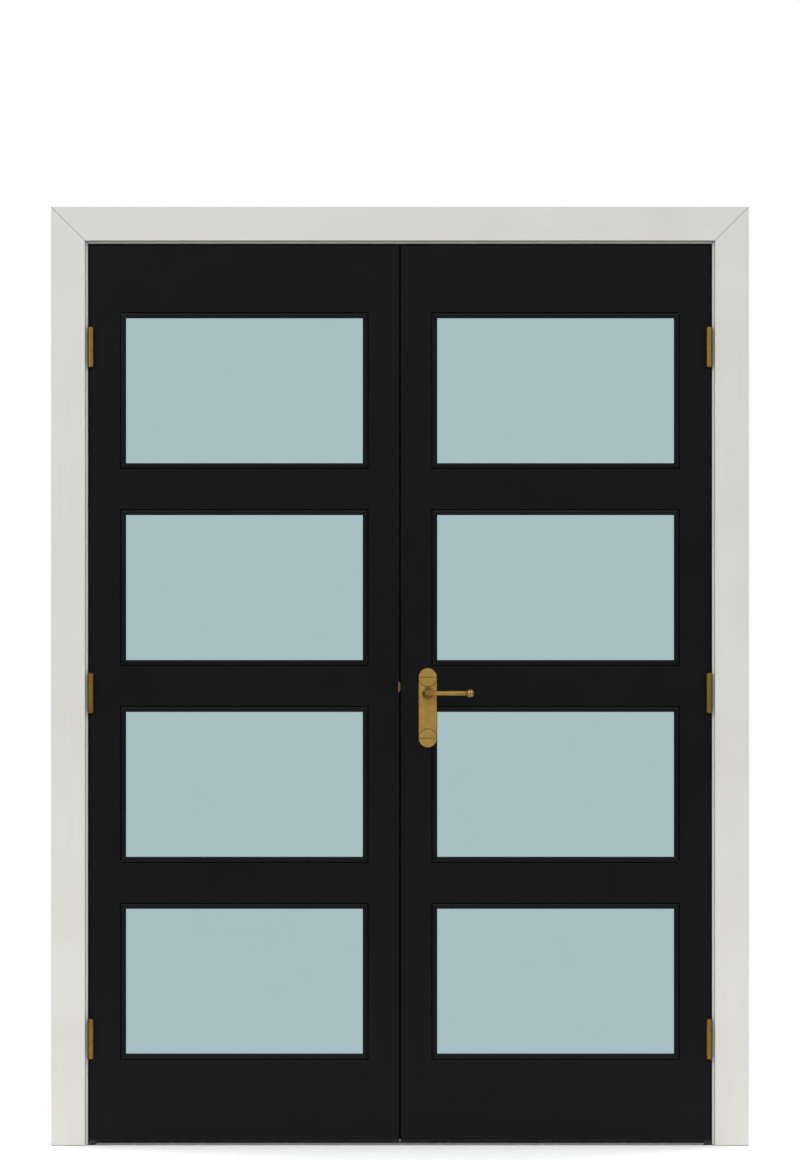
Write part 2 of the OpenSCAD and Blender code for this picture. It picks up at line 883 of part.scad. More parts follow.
module latch_follower() {
    color(steel) difference() {
        union() {
            cylinder_y(
                follower_r, leaf_mid - case_t / 2, leaf_mid + case_t / 2, spindle_x, spindle_z
            );
            translate([spindle_x, leaf_mid + arm_t / 2, spindle_z]) rotate([90, 0, 0])
                linear_extrude(arm_t) rotate(lever_turn / 2) {
                    translate([-arm_w / 2, 0]) square([arm_w, arm_l]);
                    translate([0, arm_l]) circle(r = arm_tip_r);
                }
        }
        translate([spindle_x - socket_w / 2, leaf_front, spindle_z - socket_w / 2])
            cube([socket_w, leaf_t, socket_w]);
    }
}

// Point k of the latch spring's centre line, moved out to one side of its wire
function spring_point(k, side) =
    let (
        turn = 360 * k / spring_steps,
        coil_r = spring_r - spring_wire_r,
        around = 360 * side / wire_sides,
        r = coil_r + spring_wire_r * cos(around)
    ) [
        spring_x0 + spring_l * k / (spring_steps * spring_turns) + spring_wire_r * sin(around),
        leaf_mid + r * cos(turn),
        spring_z + r * sin(turn)
    ];

module latch_spring() {
    last = spring_steps * spring_turns;
    points = [for (k = [0:last], side = [0:wire_sides - 1]) spring_point(k, side)];
    sides = [
        for (k = [0:last - 1], side = [0:wire_sides - 1])
            let (next = (side + 1) % wire_sides, a = k * wire_sides, b = a + wire_sides)
                [a + side, a + next, b + next, b + side]
    ];
    start = [for (side = [0:wire_sides - 1]) wire_sides - 1 - side];
    end = [for (side = [0:wire_sides - 1]) last * wire_sides + side];
    color(steel) polyhedron(points = points, faces = concat(sides, [start], [end]));
}

// ---- Lever furniture ----

// A backplate on the front of the leaf: its plate, end bosses and the bore that the lever turns in
module backplate_blank() {
    difference() {
        union() {
            block(
                spindle_x - backplate_w / 2, spindle_x + backplate_w / 2,
                leaf_front - backplate_t / 2, backplate_z, backplate_t, 2 * boss_step
            );
            for (z = boss_heights) cylinder_y(
                backplate_w / 2, leaf_front - backplate_t - boss_rise, leaf_front, spindle_x, z
            );
        }
        cylinder_y(
            spigot_r + running_clear, leaf_front - 2 * backplate_t, leaf_front + over,
            spindle_x, spindle_z
        );
        for (z = boss_heights) block(
            spindle_x - backplate_w, spindle_x + backplate_w,
            leaf_front - backplate_t - boss_rise, z, 2 * line_depth, line_w
        );
    }
}

module front_backplate() {
    color(brass) difference() {
        union() {
            backplate_blank();
            for (z = boss_heights)
                cylinder_y(pillar_r, leaf_front - over, leaf_front + pillar_l, spindle_x, z);
        }
        for (z = boss_heights) cylinder_y(
            handle_bolt_r + screw_clear,
            leaf_front + pillar_l - pillar_bore, leaf_front + pillar_l + over, spindle_x, z
        );
    }
}

// Turns what points along +X so that it points forward from the rear backplate's face
module at_handle_bolts() {
    for (z = boss_heights)
        translate([spindle_x, leaf_back + rear_face, z]) rotate([0, 0, -90]) children();
}

module rear_backplate() {
    color(brass) difference() {
        behind_leaf() backplate_blank();
        at_handle_bolts() screw_hole();
    }
}

module handle_bolts() {
    color(brass) difference() {
        at_handle_bolts() rotate([0, 90, 0]) {
            cylinder(r1 = screw_head_r, r2 = handle_bolt_r, h = screw_head_h);
            cylinder(r = handle_bolt_r, h = handle_bolt_l);
        }
        for (z = boss_heights) block(
            spindle_x - screw_head_r, spindle_x + screw_head_r,
            leaf_back + rear_face, z, 2 * line_depth, line_w
        );
    }
}

// A lever with its rose, neck, bar, ring and knob, on the front of the leaf
module lever() {
    difference() {
        union() {
            cylinder_y(spigot_r, rose_y - over, leaf_front - sliding_gap, spindle_x, spindle_z);
            cylinder_y(rose_r, rose_y - rose_t, rose_y, spindle_x, spindle_z);
            cylinder_y(neck_r, bar_y - neck_r, rose_y - over, spindle_x, spindle_z);
            translate([spindle_x, bar_y, spindle_z]) rotate([0, 90, 0]) {
                cylinder(r = bar_r, h = lever_reach - knob_l);
                translate([0, 0, lever_reach - knob_l - ring_l])
                    cylinder(r = ring_r, h = ring_l + over);
                intersection() {
                    translate([0, 0, lever_reach - knob_r]) sphere(r = knob_r);
                    translate([0, 0, lever_reach - knob_l]) cylinder(r = 2 * knob_r, h = 2 * knob_l);
                }
            }
        }
        block(
            spindle_x - socket_w / 2, spindle_x + socket_w / 2,
            rose_y, spindle_z, 2 * socket_depth, socket_w
        );
        cylinder_z(grub_r + screw_clear, spindle_z - rose_r - over, spindle_z);
    }
}

module cylinder_z(radius, z0, z1) {
    translate([spindle_x, grub_y, z0]) cylinder(r = radius, h = z1 - z0);
}

module front_lever() {
    color(brass) lever();
}

module rear_lever() {
    color(brass) behind_leaf() lever();
}

module spindle() {
    half_l = leaf_mid - rose_y + socket_depth - over;
    color(steel)
        translate([spindle_x - spindle_w / 2, leaf_mid - half_l, spindle_z - spindle_w / 2])
            cube([spindle_w, 2 * half_l, spindle_w]);
}

module grub_screw() {
    top = spindle_z - spindle_w / 2;
    cylinder_z(grub_r, top - grub_l, top);
}

module lever_grub_screws() {
    color(steel) {
        grub_screw();
        behind_leaf() grub_screw();
    }
}

// ---- Nodes ----

jamb(left);  // left_jamb
jamb(right);  // right_jamb
head_lining();
side_stop(left);  // left_stop
side_stop(right);  // right_stop
head_stop();
side_architrave(left);  // front_left_architrave
side_architrave(right);  // front_right_architrave
head_architrave();  // front_head_architrave
mirror([0, 1, 0]) side_architrave(left);  // rear_left_architrave
mirror([0, 1, 0]) side_architrave(right);  // rear_right_architrave
mirror([0, 1, 0]) head_architrave();  // rear_head_architrave
threshold_strip();
head_bolt_keep();
frame_hinge_leaves(left);  // left_frame_hinge_leaves
frame_hinge_leaves(right);  // right_frame_hinge_leaves
hinge_pins();
frame_screws();

hinge_stile(left);  // left_hinge_stile
left_meeting_stile();
end_rail(left, rails[lights]);  // left_top_rail
left_mid_rails();
end_rail(left, rails[0]);  // left_bottom_rail
pane(left, 0);  // left_glass_1
pane(left, 1);  // left_glass_2
pane(left, 2);  // left_glass_3
pane(left, 3);  // left_glass_4
beads(left);  // left_front_beads
behind_leaf() beads(left);  // left_rear_beads
door_hinge_leaves(left);  // left_door_hinge_leaves
left_door_screws();
strike_plate();
flush_bolt_plates();
top_flush_bolt();
bottom_flush_bolt();

hinge_stile(right);  // right_hinge_stile
right_meeting_stile();
end_rail(right, rails[lights]);  // right_top_rail
right_mid_rails();
end_rail(right, rails[0]);  // right_bottom_rail
pane(right, 0);  // right_glass_1
pane(right, 1);  // right_glass_2
pane(right, 2);  // right_glass_3
pane(right, 3);  // right_glass_4
beads(right);  // right_front_beads
behind_leaf() beads(right);  // right_rear_beads
door_hinge_leaves(right);  // right_door_hinge_leaves
right_door_screws();
front_backplate();
rear_backplate();
handle_bolts();
latch_case();
latch_faceplate();
latch_spring();
front_lever();
rear_lever();
spindle();
latch_follower();
lever_grub_screws();
latch_bolt();
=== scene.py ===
import math
import random

import bmesh
import bpy
from mathutils import Matrix, Vector


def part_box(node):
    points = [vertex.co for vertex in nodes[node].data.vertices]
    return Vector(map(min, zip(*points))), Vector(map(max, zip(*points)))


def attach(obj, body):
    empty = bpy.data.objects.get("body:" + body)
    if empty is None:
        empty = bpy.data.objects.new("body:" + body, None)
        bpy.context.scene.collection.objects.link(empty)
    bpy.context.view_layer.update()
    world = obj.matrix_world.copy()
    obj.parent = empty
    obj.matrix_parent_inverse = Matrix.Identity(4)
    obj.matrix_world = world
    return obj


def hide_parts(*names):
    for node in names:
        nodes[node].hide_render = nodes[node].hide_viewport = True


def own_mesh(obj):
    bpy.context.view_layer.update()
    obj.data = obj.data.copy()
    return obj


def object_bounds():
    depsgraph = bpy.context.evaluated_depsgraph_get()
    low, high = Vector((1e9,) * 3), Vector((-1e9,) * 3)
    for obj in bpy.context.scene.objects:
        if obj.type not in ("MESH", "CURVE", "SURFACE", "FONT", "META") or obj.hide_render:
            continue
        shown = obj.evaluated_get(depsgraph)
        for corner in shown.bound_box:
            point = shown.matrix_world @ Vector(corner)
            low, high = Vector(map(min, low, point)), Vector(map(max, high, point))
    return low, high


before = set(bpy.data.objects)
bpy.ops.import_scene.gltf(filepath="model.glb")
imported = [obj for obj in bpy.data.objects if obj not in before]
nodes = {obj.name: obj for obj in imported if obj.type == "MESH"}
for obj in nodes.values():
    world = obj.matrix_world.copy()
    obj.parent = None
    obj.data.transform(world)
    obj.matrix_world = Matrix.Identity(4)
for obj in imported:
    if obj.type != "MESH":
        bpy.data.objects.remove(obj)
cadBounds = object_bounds()
random.seed(12)               # the same tufts and screw slots every time
mm = 0.001
print("frame loaded,", len(nodes), "nodes")


# camera, world, lights and floor

shot = {
    "lens": 350.0,            # a long lens far away, so that upright lines stay parallel
    "sensor": 36.0,
    "fieldHeight": 2.5608,    # metres seen from top to bottom at the architrave's face
    "middleHeight": 1.2506,
    "clip": (0.5, 200),       # metres
}

studio = {
    "backdrop": 1.0,          # what is seen straight through or past the doors
    "horizonLight": 0.22,     # what the faces reflect at eye level
    "zenithLight": 0.90,
    "zenithRise": 0.9,        # how steeply up a ray has to look to meet that brightest part
    "floorColour": "#FAFAF8",
    "floorFadeStart": 1.3,    # metres from the middle, where the floor starts to melt into the backdrop
    "floorFadeEnd": 3.2,
    "floorMargin": 0.3,
    "floorDropMm": 0.3,       # keeps the floor clear of the feet that stand on it
    "lights": [
        # name, place, aim, size, watts; all hang high, so that no pane mirrors their edges
        ("keySoftbox", (-3.4, -3.6, 3.6), (0, 0, 1.1), 2.4, 112),
        ("fillSoftbox", (3.7, -3.2, 3.7), (0, 0, 0.9), 2.4, 84),
        ("frontSoftbox", (0.2, -6.5, 4.2), (0, 0, 0.9), 3.0, 42),
        ("rearSoftbox", (2.8, 3.8, 3.8), (0, 0, 0.9), 2.4, 140),
        ("rearFill", (-3.5, 3.1, 3.7), (0, 0, 0.9), 2.4, 84),
    ],
}


def linearColour(hexColour):
    # sRGB hex to the linear values that Blender's sockets take
    values = []
    for i in (1, 3, 5):
        c = int(hexColour[i:i + 2], 16) / 255
        values.append(c / 12.92 if c <= 0.04045 else ((c + 0.055) / 1.055) ** 2.4)
    return (*values, 1.0)


def addNode(tree, kind, inputs=None, stops=None, **settings):
    # one node with its settings; an input is a value, or another node's output to link
    node = tree.nodes.new("ShaderNode" + kind)
    for name, value in settings.items():
        setattr(node, name, value)
    for name, value in (inputs or {}).items():
        if isinstance(value, bpy.types.NodeSocket):
            tree.links.new(value, node.inputs[name])
        else:
            node.inputs[name].default_value = value
    if stops:
        ramp = node.color_ramp
        while len(ramp.elements) < len(stops):
            ramp.elements.new(0.5)
        for element, (position, colour) in zip(ramp.elements, stops):
            element.position = position
            element.color = colour
    return node


def makeCamera():
    data = bpy.data.cameras.new("camera")
    data.lens, data.sensor_width = shot["lens"], shot["sensor"]
    data.clip_start, data.clip_end = shot["clip"]
    camera = bpy.data.objects.new("camera", data)
    bpy.context.scene.collection.objects.link(camera)
    distance = shot["fieldHeight"] * shot["lens"] / shot["sensor"]
    camera.location = (0, cadBounds[0].y - distance, shot["middleHeight"])
    camera.rotation_euler = (math.pi / 2, 0, 0)
    bpy.context.scene.camera = camera


def makeWorld():
    world = bpy.data.worlds.new("studio")
    bpy.context.scene.world = world
    world.use_nodes = True
    tree = world.node_tree
    tree.nodes.clear()
    # a soft sky of light, dimmer at eye level, with a plain white backdrop behind everything
    direction = addNode(tree, "TexCoord")
    height = addNode(tree, "SeparateXYZ", {"Vector": direction.outputs["Generated"]})
    rise = addNode(tree, "MapRange", {
        "Value": height.outputs["Z"], "From Min": 0.0, "From Max": studio["zenithRise"],
        "To Min": studio["horizonLight"], "To Max": studio["zenithLight"],
    })
    path = addNode(tree, "LightPath")
    straight = addNode(tree, "Math", {
        0: path.outputs["Is Camera Ray"], 1: path.outputs["Is Transmission Ray"],
    }, operation="MAXIMUM")
    strength = addNode(tree, "Mix", {
        "Factor": straight.outputs[0], "A": rise.outputs[0], "B": studio["backdrop"],
    })
    sky = addNode(tree, "Background", {"Color": (1, 1, 1, 1), "Strength": strength.outputs[0]})
    addNode(tree, "OutputWorld", {"Surface": sky.outputs[0]})


def makeLights():
    for name, place, aim, size, watts in studio["lights"]:
        data = bpy.data.lights.new(name, "AREA")
        data.shape, data.size, data.energy = "SQUARE", size, watts
        light = bpy.data.objects.new(name, data)
        light.location = place
        light.rotation_euler = (Vector(aim) - Vector(place)).to_track_quat("-Z", "Y").to_euler()
        bpy.context.scene.collection.objects.link(light)


def makeFloor():
    mesh = bpy.data.meshes.new("floor")
    half = studio["floorFadeEnd"] + studio["floorMargin"]
    bm = bmesh.new()
    bmesh.ops.create_grid(bm, x_segments=8, y_segments=8, size=half,
                          matrix=Matrix.Translation((0, 0, -studio["floorDropMm"] * mm)))
    bm.to_mesh(mesh)
    bm.free()
    floor = bpy.data.objects.new("floor", mesh)
    bpy.context.scene.collection.objects.link(floor)
    material = bpy.data.materials.new("paleStudioFloor")
    material.use_nodes = True
    tree = material.node_tree
    tree.nodes.clear()
    place = addNode(tree, "TexCoord")
    reach = addNode(tree, "VectorMath", {0: place.outputs["Object"]}, operation="LENGTH")
    fade = addNode(tree, "MapRange", {
        "Value": reach.outputs["Value"], "From Min": studio["floorFadeStart"],
        "From Max": studio["floorFadeEnd"],
    }, interpolation_type="SMOOTHSTEP")
    matt = addNode(tree, "BsdfDiffuse", {"Color": linearColour(studio["floorColour"])})
    clear = addNode(tree, "BsdfTransparent")
    both = addNode(tree, "MixShader", {0: fade.outputs[0], 1: matt.outputs[0], 2: clear.outputs[0]})
    addNode(tree, "OutputMaterial", {"Surface": both.outputs[0]})
    mesh.materials.append(material)


bpy.context.scene.view_settings.view_transform = "Standard"
makeCamera()
makeWorld()
makeLights()
makeFloor()
print("studio ready")


# materials

def newMaterial(name):
    material = bpy.data.materials.new(name)
    material.use_nodes = True
    tree = material.node_tree
    tree.nodes.clear()
    return material, tree


def streaks(tree, along, acrossMm, lengthMm):
    # noise drawn out along one axis, as a brush, a roller or the grain leaves it
    place = addNode(tree, "TexCoord")
    scale = [1 / (acrossMm * mm)] * 3
    scale["XYZ".index(along)] = 1 / (lengthMm * mm)    # the long way of a board
    mapping = addNode(tree, "Mapping", {"Vector": place.outputs["Object"], "Scale": scale})
    return addNode(tree, "TexNoise", {
        "Vector": mapping.outputs[0], "Scale": 1.0, "Detail": 4.0, "Roughness": 0.55,
    })


# nearly all of a noise's values lie between these two
noiseLow, noiseHigh = 0.3, 0.7


def mottle(tree, sizeMm, detail=3.0):
    place = addNode(tree, "TexCoord")
    return addNode(tree, "TexNoise", {
        "Vector": place.outputs["Object"], "Scale": 1 / (sizeMm * mm), "Detail": detail,
    })


jointShade = {
    "deep": 0.35, "open": 0.95,    # how much sky a point sees deep in a joint and out in the open
    "samples": 6,
}


def shadeAndPatinaInJoints(tree, tone, reachMm, amount, dark):
    # mixes a darker tone in: none of it in the open, up to the amount deep in a corner or a joint;
    # on the paint it is painted shade, on the brass the patina in its hollows
    sky = addNode(tree, "AmbientOcclusion", {"Distance": reachMm * mm}, samples=jointShade["samples"])
    depth = addNode(tree, "MapRange", {
        "Value": sky.outputs["AO"], "From Min": jointShade["deep"], "From Max": jointShade["open"],
        "To Min": 1.0, "To Max": 0.0,
    })
    share = addNode(tree, "Math", {0: depth.outputs[0], 1: amount}, operation="MULTIPLY")
    shaded = addNode(tree, "Mix", {
        "Factor": share.outputs[0], "A": tone, "B": linearColour(dark),
    }, data_type="RGBA")
    return shaded.outputs["Result"]


framePaintValues = {
    # the darkest of these three tones is painted shade for the corners and joints
    "colour": "#D6D5D0", "thin": "#D0CFC9", "paintedShade": "#4E4C46",
    "tonesAt": (0.12, 0.38),  # where the thin and the full coat lie in the strokes
    "roughness": (0.36, 0.50),
    "specular": 0.35,
    "bristleMm": 2.2,         # real bristle marks are about 0.4 mm apart, drawn coarser to show
    "strokeMm": 260,
    "cloudMm": 180,
    "bumpMm": 0.05, "bumpStrength": 0.35,
    "cornerMm": 2.2,
    "cornerAmount": 0.9,
}

doorPaintValues = {
    # the darkest of these three tones is painted shade for the corners and joints
    "colour": "#07080A", "thin": "#0B0C0E", "paintedShade": "#020203",
    "tonesAt": (0.12, 0.38),
    "roughness": (0.33, 0.46),
    "specular": 0.15,         # a dead flat black that mirrors little of the room
    "bristleMm": 1.6,         # open grain under the paint, really about 0.5 mm apart, drawn coarser
    "strokeMm": 140,
    "cloudMm": 120,
    "bumpMm": 0.06, "bumpStrength": 0.35,
    "cornerMm": 4,
    "cornerAmount": 0.8,
}


def satinPaint(name, values, along):
    # Brushed satin paint on timber: an even colour with long faint strokes, a soft broken sheen
    # and painted shade, a darker tone mixed into its corners and joints.
    material, tree = newMaterial(name)
    stroke = streaks(tree, along, values["bristleMm"], values["strokeMm"])
    cloud = mottle(tree, values["cloudMm"])
    blend = addNode(tree, "Math", {0: stroke.outputs["Fac"], 1: cloud.outputs["Fac"]},
                    operation="MULTIPLY")
    thinAt, fullAt = values["tonesAt"]
    tone = addNode(tree, "ValToRGB", {"Fac": blend.outputs[0]}, stops=[
        (thinAt, linearColour(values["thin"])), (fullAt, linearColour(values["colour"])),
    ])
    # painted shade: the darker tone goes where the paint sees little sky, in corners and joints
    colour = shadeAndPatinaInJoints(tree, tone.outputs[0], values["cornerMm"], values["cornerAmount"],
                         values["paintedShade"])
    low, high = values["roughness"]
    sheen = addNode(tree, "MapRange", {
        "Value": cloud.outputs["Fac"], "From Min": noiseLow, "From Max": noiseHigh,
        "To Min": low, "To Max": high,
    })
    bump = addNode(tree, "Bump", {
        "Height": stroke.outputs["Fac"], "Strength": values["bumpStrength"],
        "Distance": values["bumpMm"] * mm,
    })
    shader = addNode(tree, "BsdfPrincipled", {
        "Base Color": colour, "Roughness": sheen.outputs[0],
        "Specular IOR Level": values["specular"], "Normal": bump.outputs[0],
    })
    addNode(tree, "OutputMaterial", {"Surface": shader.outputs[0]})
    return material


brassValues = {
    # painted light: one brass in three tones, the flat plates brightest to make up for the little
    # light they mirror, the levers a little darker and the round hinges darkest against their highlights
    "plate": ("#C8A04F", "#D3AC60"), "lever": ("#A08042", "#B08E4B"), "hinge": ("#927338", "#A07F40"),
    "patina": "#2E220C",
    "tonesAt": (0.35, 0.68),
    "roughness": (0.32, 0.46),
    "brushMm": 0.6,           # real brushing is about 0.1 mm apart, drawn coarser to show
    "brushLengthMm": 30,
    "cloudMm": 14,
    "bumpMm": 0.02, "bumpStrength": 0.25,
    "cornerMm": 3,
    "cornerAmount": 0.9,
}


def satinBrass(name, values, along, tones):
    # Brushed and lacquered brass, a few years old: warm broken highlights, brown in the corners.
    material, tree = newMaterial(name)
    brush = streaks(tree, along, values["brushMm"], values["brushLengthMm"])
    cloud = mottle(tree, values["cloudMm"])
    tone = addNode(tree, "ValToRGB", {"Fac": cloud.outputs["Fac"]}, stops=[
        (place, linearColour(colour)) for place, colour in zip(values["tonesAt"], tones)
    ])
    colour = shadeAndPatinaInJoints(tree, tone.outputs[0], values["cornerMm"], values["cornerAmount"],
                         values["patina"])
    low, high = values["roughness"]
    sheen = addNode(tree, "MapRange", {
        "Value": brush.outputs["Fac"], "From Min": noiseLow, "From Max": noiseHigh,
        "To Min": low, "To Max": high,
    })
    bump = addNode(tree, "Bump", {
        "Height": brush.outputs["Fac"], "Strength": values["bumpStrength"],
        "Distance": values["bumpMm"] * mm,
    })
    shader = addNode(tree, "BsdfPrincipled", {
        "Base Color": colour, "Metallic": 1.0, "Roughness": sheen.outputs[0],
        "Normal": bump.outputs[0],
    })
    addNode(tree, "OutputMaterial", {"Surface": shader.outputs[0]})
    return material


steelValues = {
    "colour": "#A9ABAD", "dark": "#8E9194",
    "roughness": (0.28, 0.42),
    "spangleMm": 2.5,         # the patches of the zinc
}


def zincPlatedSteel(name, values):
    # Bright zinc plating on pressed steel: pale, slightly blue, in small crystal patches.
    material, tree = newMaterial(name)
    place = addNode(tree, "TexCoord")
    spangle = addNode(tree, "TexVoronoi", {
        "Vector": place.outputs["Object"], "Scale": 1 / (values["spangleMm"] * mm),
    })
    patch = addNode(tree, "SeparateColor", {"Color": spangle.outputs["Color"]})
    tone = addNode(tree, "ValToRGB", {"Fac": patch.outputs[0]}, stops=[
        (0.0, linearColour(values["dark"])), (1.0, linearColour(values["colour"])),
    ])
    low, high = values["roughness"]
    sheen = addNode(tree, "MapRange", {"Value": patch.outputs[1], "To Min": low, "To Max": high})
    shader = addNode(tree, "BsdfPrincipled", {
        "Base Color": tone.outputs[0], "Metallic": 1.0, "Roughness": sheen.outputs[0],
    })
    addNode(tree, "OutputMaterial", {"Surface": shader.outputs[0]})
    return material


thresholdValues = {
    "colour": "#8B8B8A", "scuffed": "#9B9B99",
    "roughness": (0.42, 0.58),
    "drawMm": 0.9,            # die lines, really about 0.2 mm apart, drawn coarser to show
    "drawLengthMm": 400,
    "scuffMm": 16,
    "scuffedAt": (0.48, 0.7),
    "bumpMm": 0.03, "bumpStrength": 0.3,
}


def anodisedAluminium(name, values):
    # Extruded and grey anodised aluminium: fine lines along its length, paler where feet scuff it.
    material, tree = newMaterial(name)
    draw = streaks(tree, "X", values["drawMm"], values["drawLengthMm"])
    scuff = mottle(tree, values["scuffMm"], detail=5.0)
    plainAt, scuffedAt = values["scuffedAt"]
    tone = addNode(tree, "ValToRGB", {"Fac": scuff.outputs["Fac"]}, stops=[
        (plainAt, linearColour(values["colour"])), (scuffedAt, linearColour(values["scuffed"])),
    ])
    low, high = values["roughness"]
    sheen = addNode(tree, "MapRange", {
        "Value": draw.outputs["Fac"], "From Min": noiseLow, "From Max": noiseHigh,
        "To Min": low, "To Max": high,
    })
    bump = addNode(tree, "Bump", {
        "Height": draw.outputs["Fac"], "Strength": values["bumpStrength"],
        "Distance": values["bumpMm"] * mm,
    })
    shader = addNode(tree, "BsdfPrincipled", {
        "Base Color": tone.outputs[0], "Metallic": 1.0, "Roughness": sheen.outputs[0],
        "Normal": bump.outputs[0],
    })
    addNode(tree, "OutputMaterial", {"Surface": shader.outputs[0]})
    return material


glassValues = {
    "tint": "#A9C2C6", "deep": "#A8C1C5",
    "ior": 1.52,
    "waveMm": 90,             # the slow swell of toughened float glass
    "bumpMm": 0.1, "bumpStrength": 0.05,
}


def tintedGlass(name, values):
    # Toughened float glass with a pale blue-green body tint: clear, with a faint slow swell.
    material, tree = newMaterial(name)
    wave = mottle(tree, values["waveMm"], detail=1.0)
    tone = addNode(tree, "ValToRGB", {"Fac": wave.outputs["Fac"]}, stops=[
        (noiseLow, linearColour(values["deep"])), (noiseHigh, linearColour(values["tint"])),
    ])
    bump = addNode(tree, "Bump", {
        "Height": wave.outputs["Fac"], "Strength": values["bumpStrength"],
        "Distance": values["bumpMm"] * mm,
    })
    shader = addNode(tree, "BsdfPrincipled", {
        "Base Color": tone.outputs[0], "Roughness": 0.0, "IOR": values["ior"],
        "Transmission Weight": 1.0, "Normal": bump.outputs[0],
    })
    addNode(tree, "OutputMaterial", {"Surface": shader.outputs[0]})
    return material


softSealValues = {
    # the paler pile tone is a painted highlight on the tips of the fibres
    "pile": "#0C0C0D", "pileTipHighlight": "#1E1E20", "rubber": "#101011", "bloom": "#1B1B1C",
    "pileMm": 0.9,            # one pile is about 0.1 mm thick, drawn coarser to show
    "pileLengthMm": 8,
    "pileRoughness": 0.9, "pileSpecular": 0.15,
    "bumpMm": 0.3, "bumpStrength": 0.6,
    "tipHighlightsAt": (0.4, 0.75),    # where the pile turns to tip along the fibres' pattern
    "bloomMm": 14,
    "bloomAt": (0.4, 0.7),
    "rubberRoughness": (0.5, 0.75), "rubberSpecular": 0.3,
}


def nylonPile(name, values):
    # Woven nylon brush pile: matt black, with paler streaks painted in as a highlight where the tips
    # catch the light.
    material, tree = newMaterial(name)
    fibre = streaks(tree, "X", values["pileMm"], values["pileLengthMm"])
    pileAt, tipHighlightAt = values["tipHighlightsAt"]
    tone = addNode(tree, "ValToRGB", {"Fac": fibre.outputs["Fac"]}, stops=[
        (pileAt, linearColour(values["pile"])), (tipHighlightAt, linearColour(values["pileTipHighlight"])),
    ])
    bump = addNode(tree, "Bump", {
        "Height": fibre.outputs["Fac"], "Strength": values["bumpStrength"],
        "Distance": values["bumpMm"] * mm,
    })
    shader = addNode(tree, "BsdfPrincipled", {
        "Base Color": tone.outputs[0], "Roughness": values["pileRoughness"],
        "Specular IOR Level": values["pileSpecular"], "Normal": bump.outputs[0],
    })
    addNode(tree, "OutputMaterial", {"Surface": shader.outputs[0]})
    return material


def sealRubber(name, values):
    # Extruded black rubber: soft sheen, with the faint grey bloom that rubber gets with age.
    material, tree = newMaterial(name)
    bloom = mottle(tree, values["bloomMm"], detail=4.0)
    plainAt, bloomAt = values["bloomAt"]
    tone = addNode(tree, "ValToRGB", {"Fac": bloom.outputs["Fac"]}, stops=[
        (plainAt, linearColour(values["rubber"])), (bloomAt, linearColour(values["bloom"])),
    ])
    low, high = values["rubberRoughness"]
    sheen = addNode(tree, "MapRange", {"Value": bloom.outputs["Fac"], "To Min": low, "To Max": high})
    shader = addNode(tree, "BsdfPrincipled", {
        "Base Color": tone.outputs[0], "Roughness": sheen.outputs[0],
        "Specular IOR Level": values["rubberSpecular"],
    })
    addNode(tree, "OutputMaterial", {"Surface": shader.outputs[0]})
    return material


framePaintUpright = satinPaint("satinFramePaintUpright", framePaintValues, "Z")
framePaintLevel = satinPaint("satinFramePaintLevel", framePaintValues, "X")
doorPaintUpright = satinPaint("satinBlackPaintUpright", doorPaintValues, "Z")
doorPaintLevel = satinPaint("satinBlackPaintLevel", doorPaintValues, "X")
# the three brasses differ in tone as painted light and shade, for how each shape catches the light
plateBrass = satinBrass("brushedPlateBrass", brassValues, "Z", brassValues["plate"])
hingeBrass = satinBrass("shadedHingeBrass", brassValues, "Z", brassValues["hinge"])
leverBrass = satinBrass("satinLeverBrass", brassValues, "X", brassValues["lever"])
steelZinc = zincPlatedSteel("zincPlatedSteel", steelValues)
aluminium = anodisedAluminium("greyAnodisedAluminium", thresholdValues)
glass = tintedGlass("paleTintedGlass", glassValues)
brushPile = nylonPile("blackNylonPile", softSealValues)
blackRubber = sealRubber("extrudedBlackRubber", softSealValues)
print("materials ready")


# how pieces are built

def finishPiece(name, bm, material, body, replaced, sharpDegrees=32):
    # turns a bmesh into a piece that rides on its body and stands for CAD nodes
    bmesh.ops.recalc_face_normals(bm, faces=bm.faces)
    mesh = bpy.data.meshes.new(name)
    bm.to_mesh(mesh)
    bm.free()
    for face in mesh.polygons:
        face.use_smooth = True
    mesh.set_sharp_from_angle(angle=math.radians(sharpDegrees))
    mesh.materials.append(material)
    piece = bpy.data.objects.new(name, mesh)
    bpy.context.scene.collection.objects.link(piece)
    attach(piece, body)
    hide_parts(*replaced)
    return piece


def keepFlat(piece):
    # large flat faces keep their own normal beside a rounded edge
    weighted = piece.modifiers.new("flatFaces", "WEIGHTED_NORMAL")
    weighted.keep_sharp = True
    return piece


cleaning = {
    "weldMm": 0.002,          # the CAD meshes repeat their corners along sharp edges
    "flatDegrees": 1,
    "sharpDegrees": 30,
    "shortestMm": 4,          # edges shorter than this stay as they are
    "nearMm": 0.05,           # two places this near each other are the same
    "uprightMm": 0.01,        # an edge that strays less than this is upright
}


def welded(node):
    bm = bmesh.new()
    bm.from_mesh(nodes[node].data)
    bmesh.ops.remove_doubles(bm, verts=bm.verts, dist=cleaning["weldMm"] * mm)
    return bm


def cleanCopy(node):
    # a CAD node without the triangles on its flat faces
    bm = welded(node)
    bmesh.ops.dissolve_limit(bm, angle_limit=math.radians(cleaning["flatDegrees"]), verts=bm.verts,
                             edges=bm.edges)
    return bm


def workEdges(bm, edges, offset, profile=0.5):
    # two strips along each edge: rounded with a profile of 0.5, a square groove with 0
    bmesh.ops.bevel(bm, geom=edges, offset=offset * mm, offset_type="OFFSET", segments=2,
                    profile=profile, affect="EDGES", clamp_overlap=False)


def liesAt(edge, flushX):
    # whether an edge runs upright at one of these distances from the middle of the doors
    first, last = (vert.co for vert in edge.verts)
    near = any(abs(abs(first.x) - x) < cleaning["nearMm"] * mm for x in flushX)
    return near and abs(last.x - first.x) < cleaning["uprightMm"] * mm


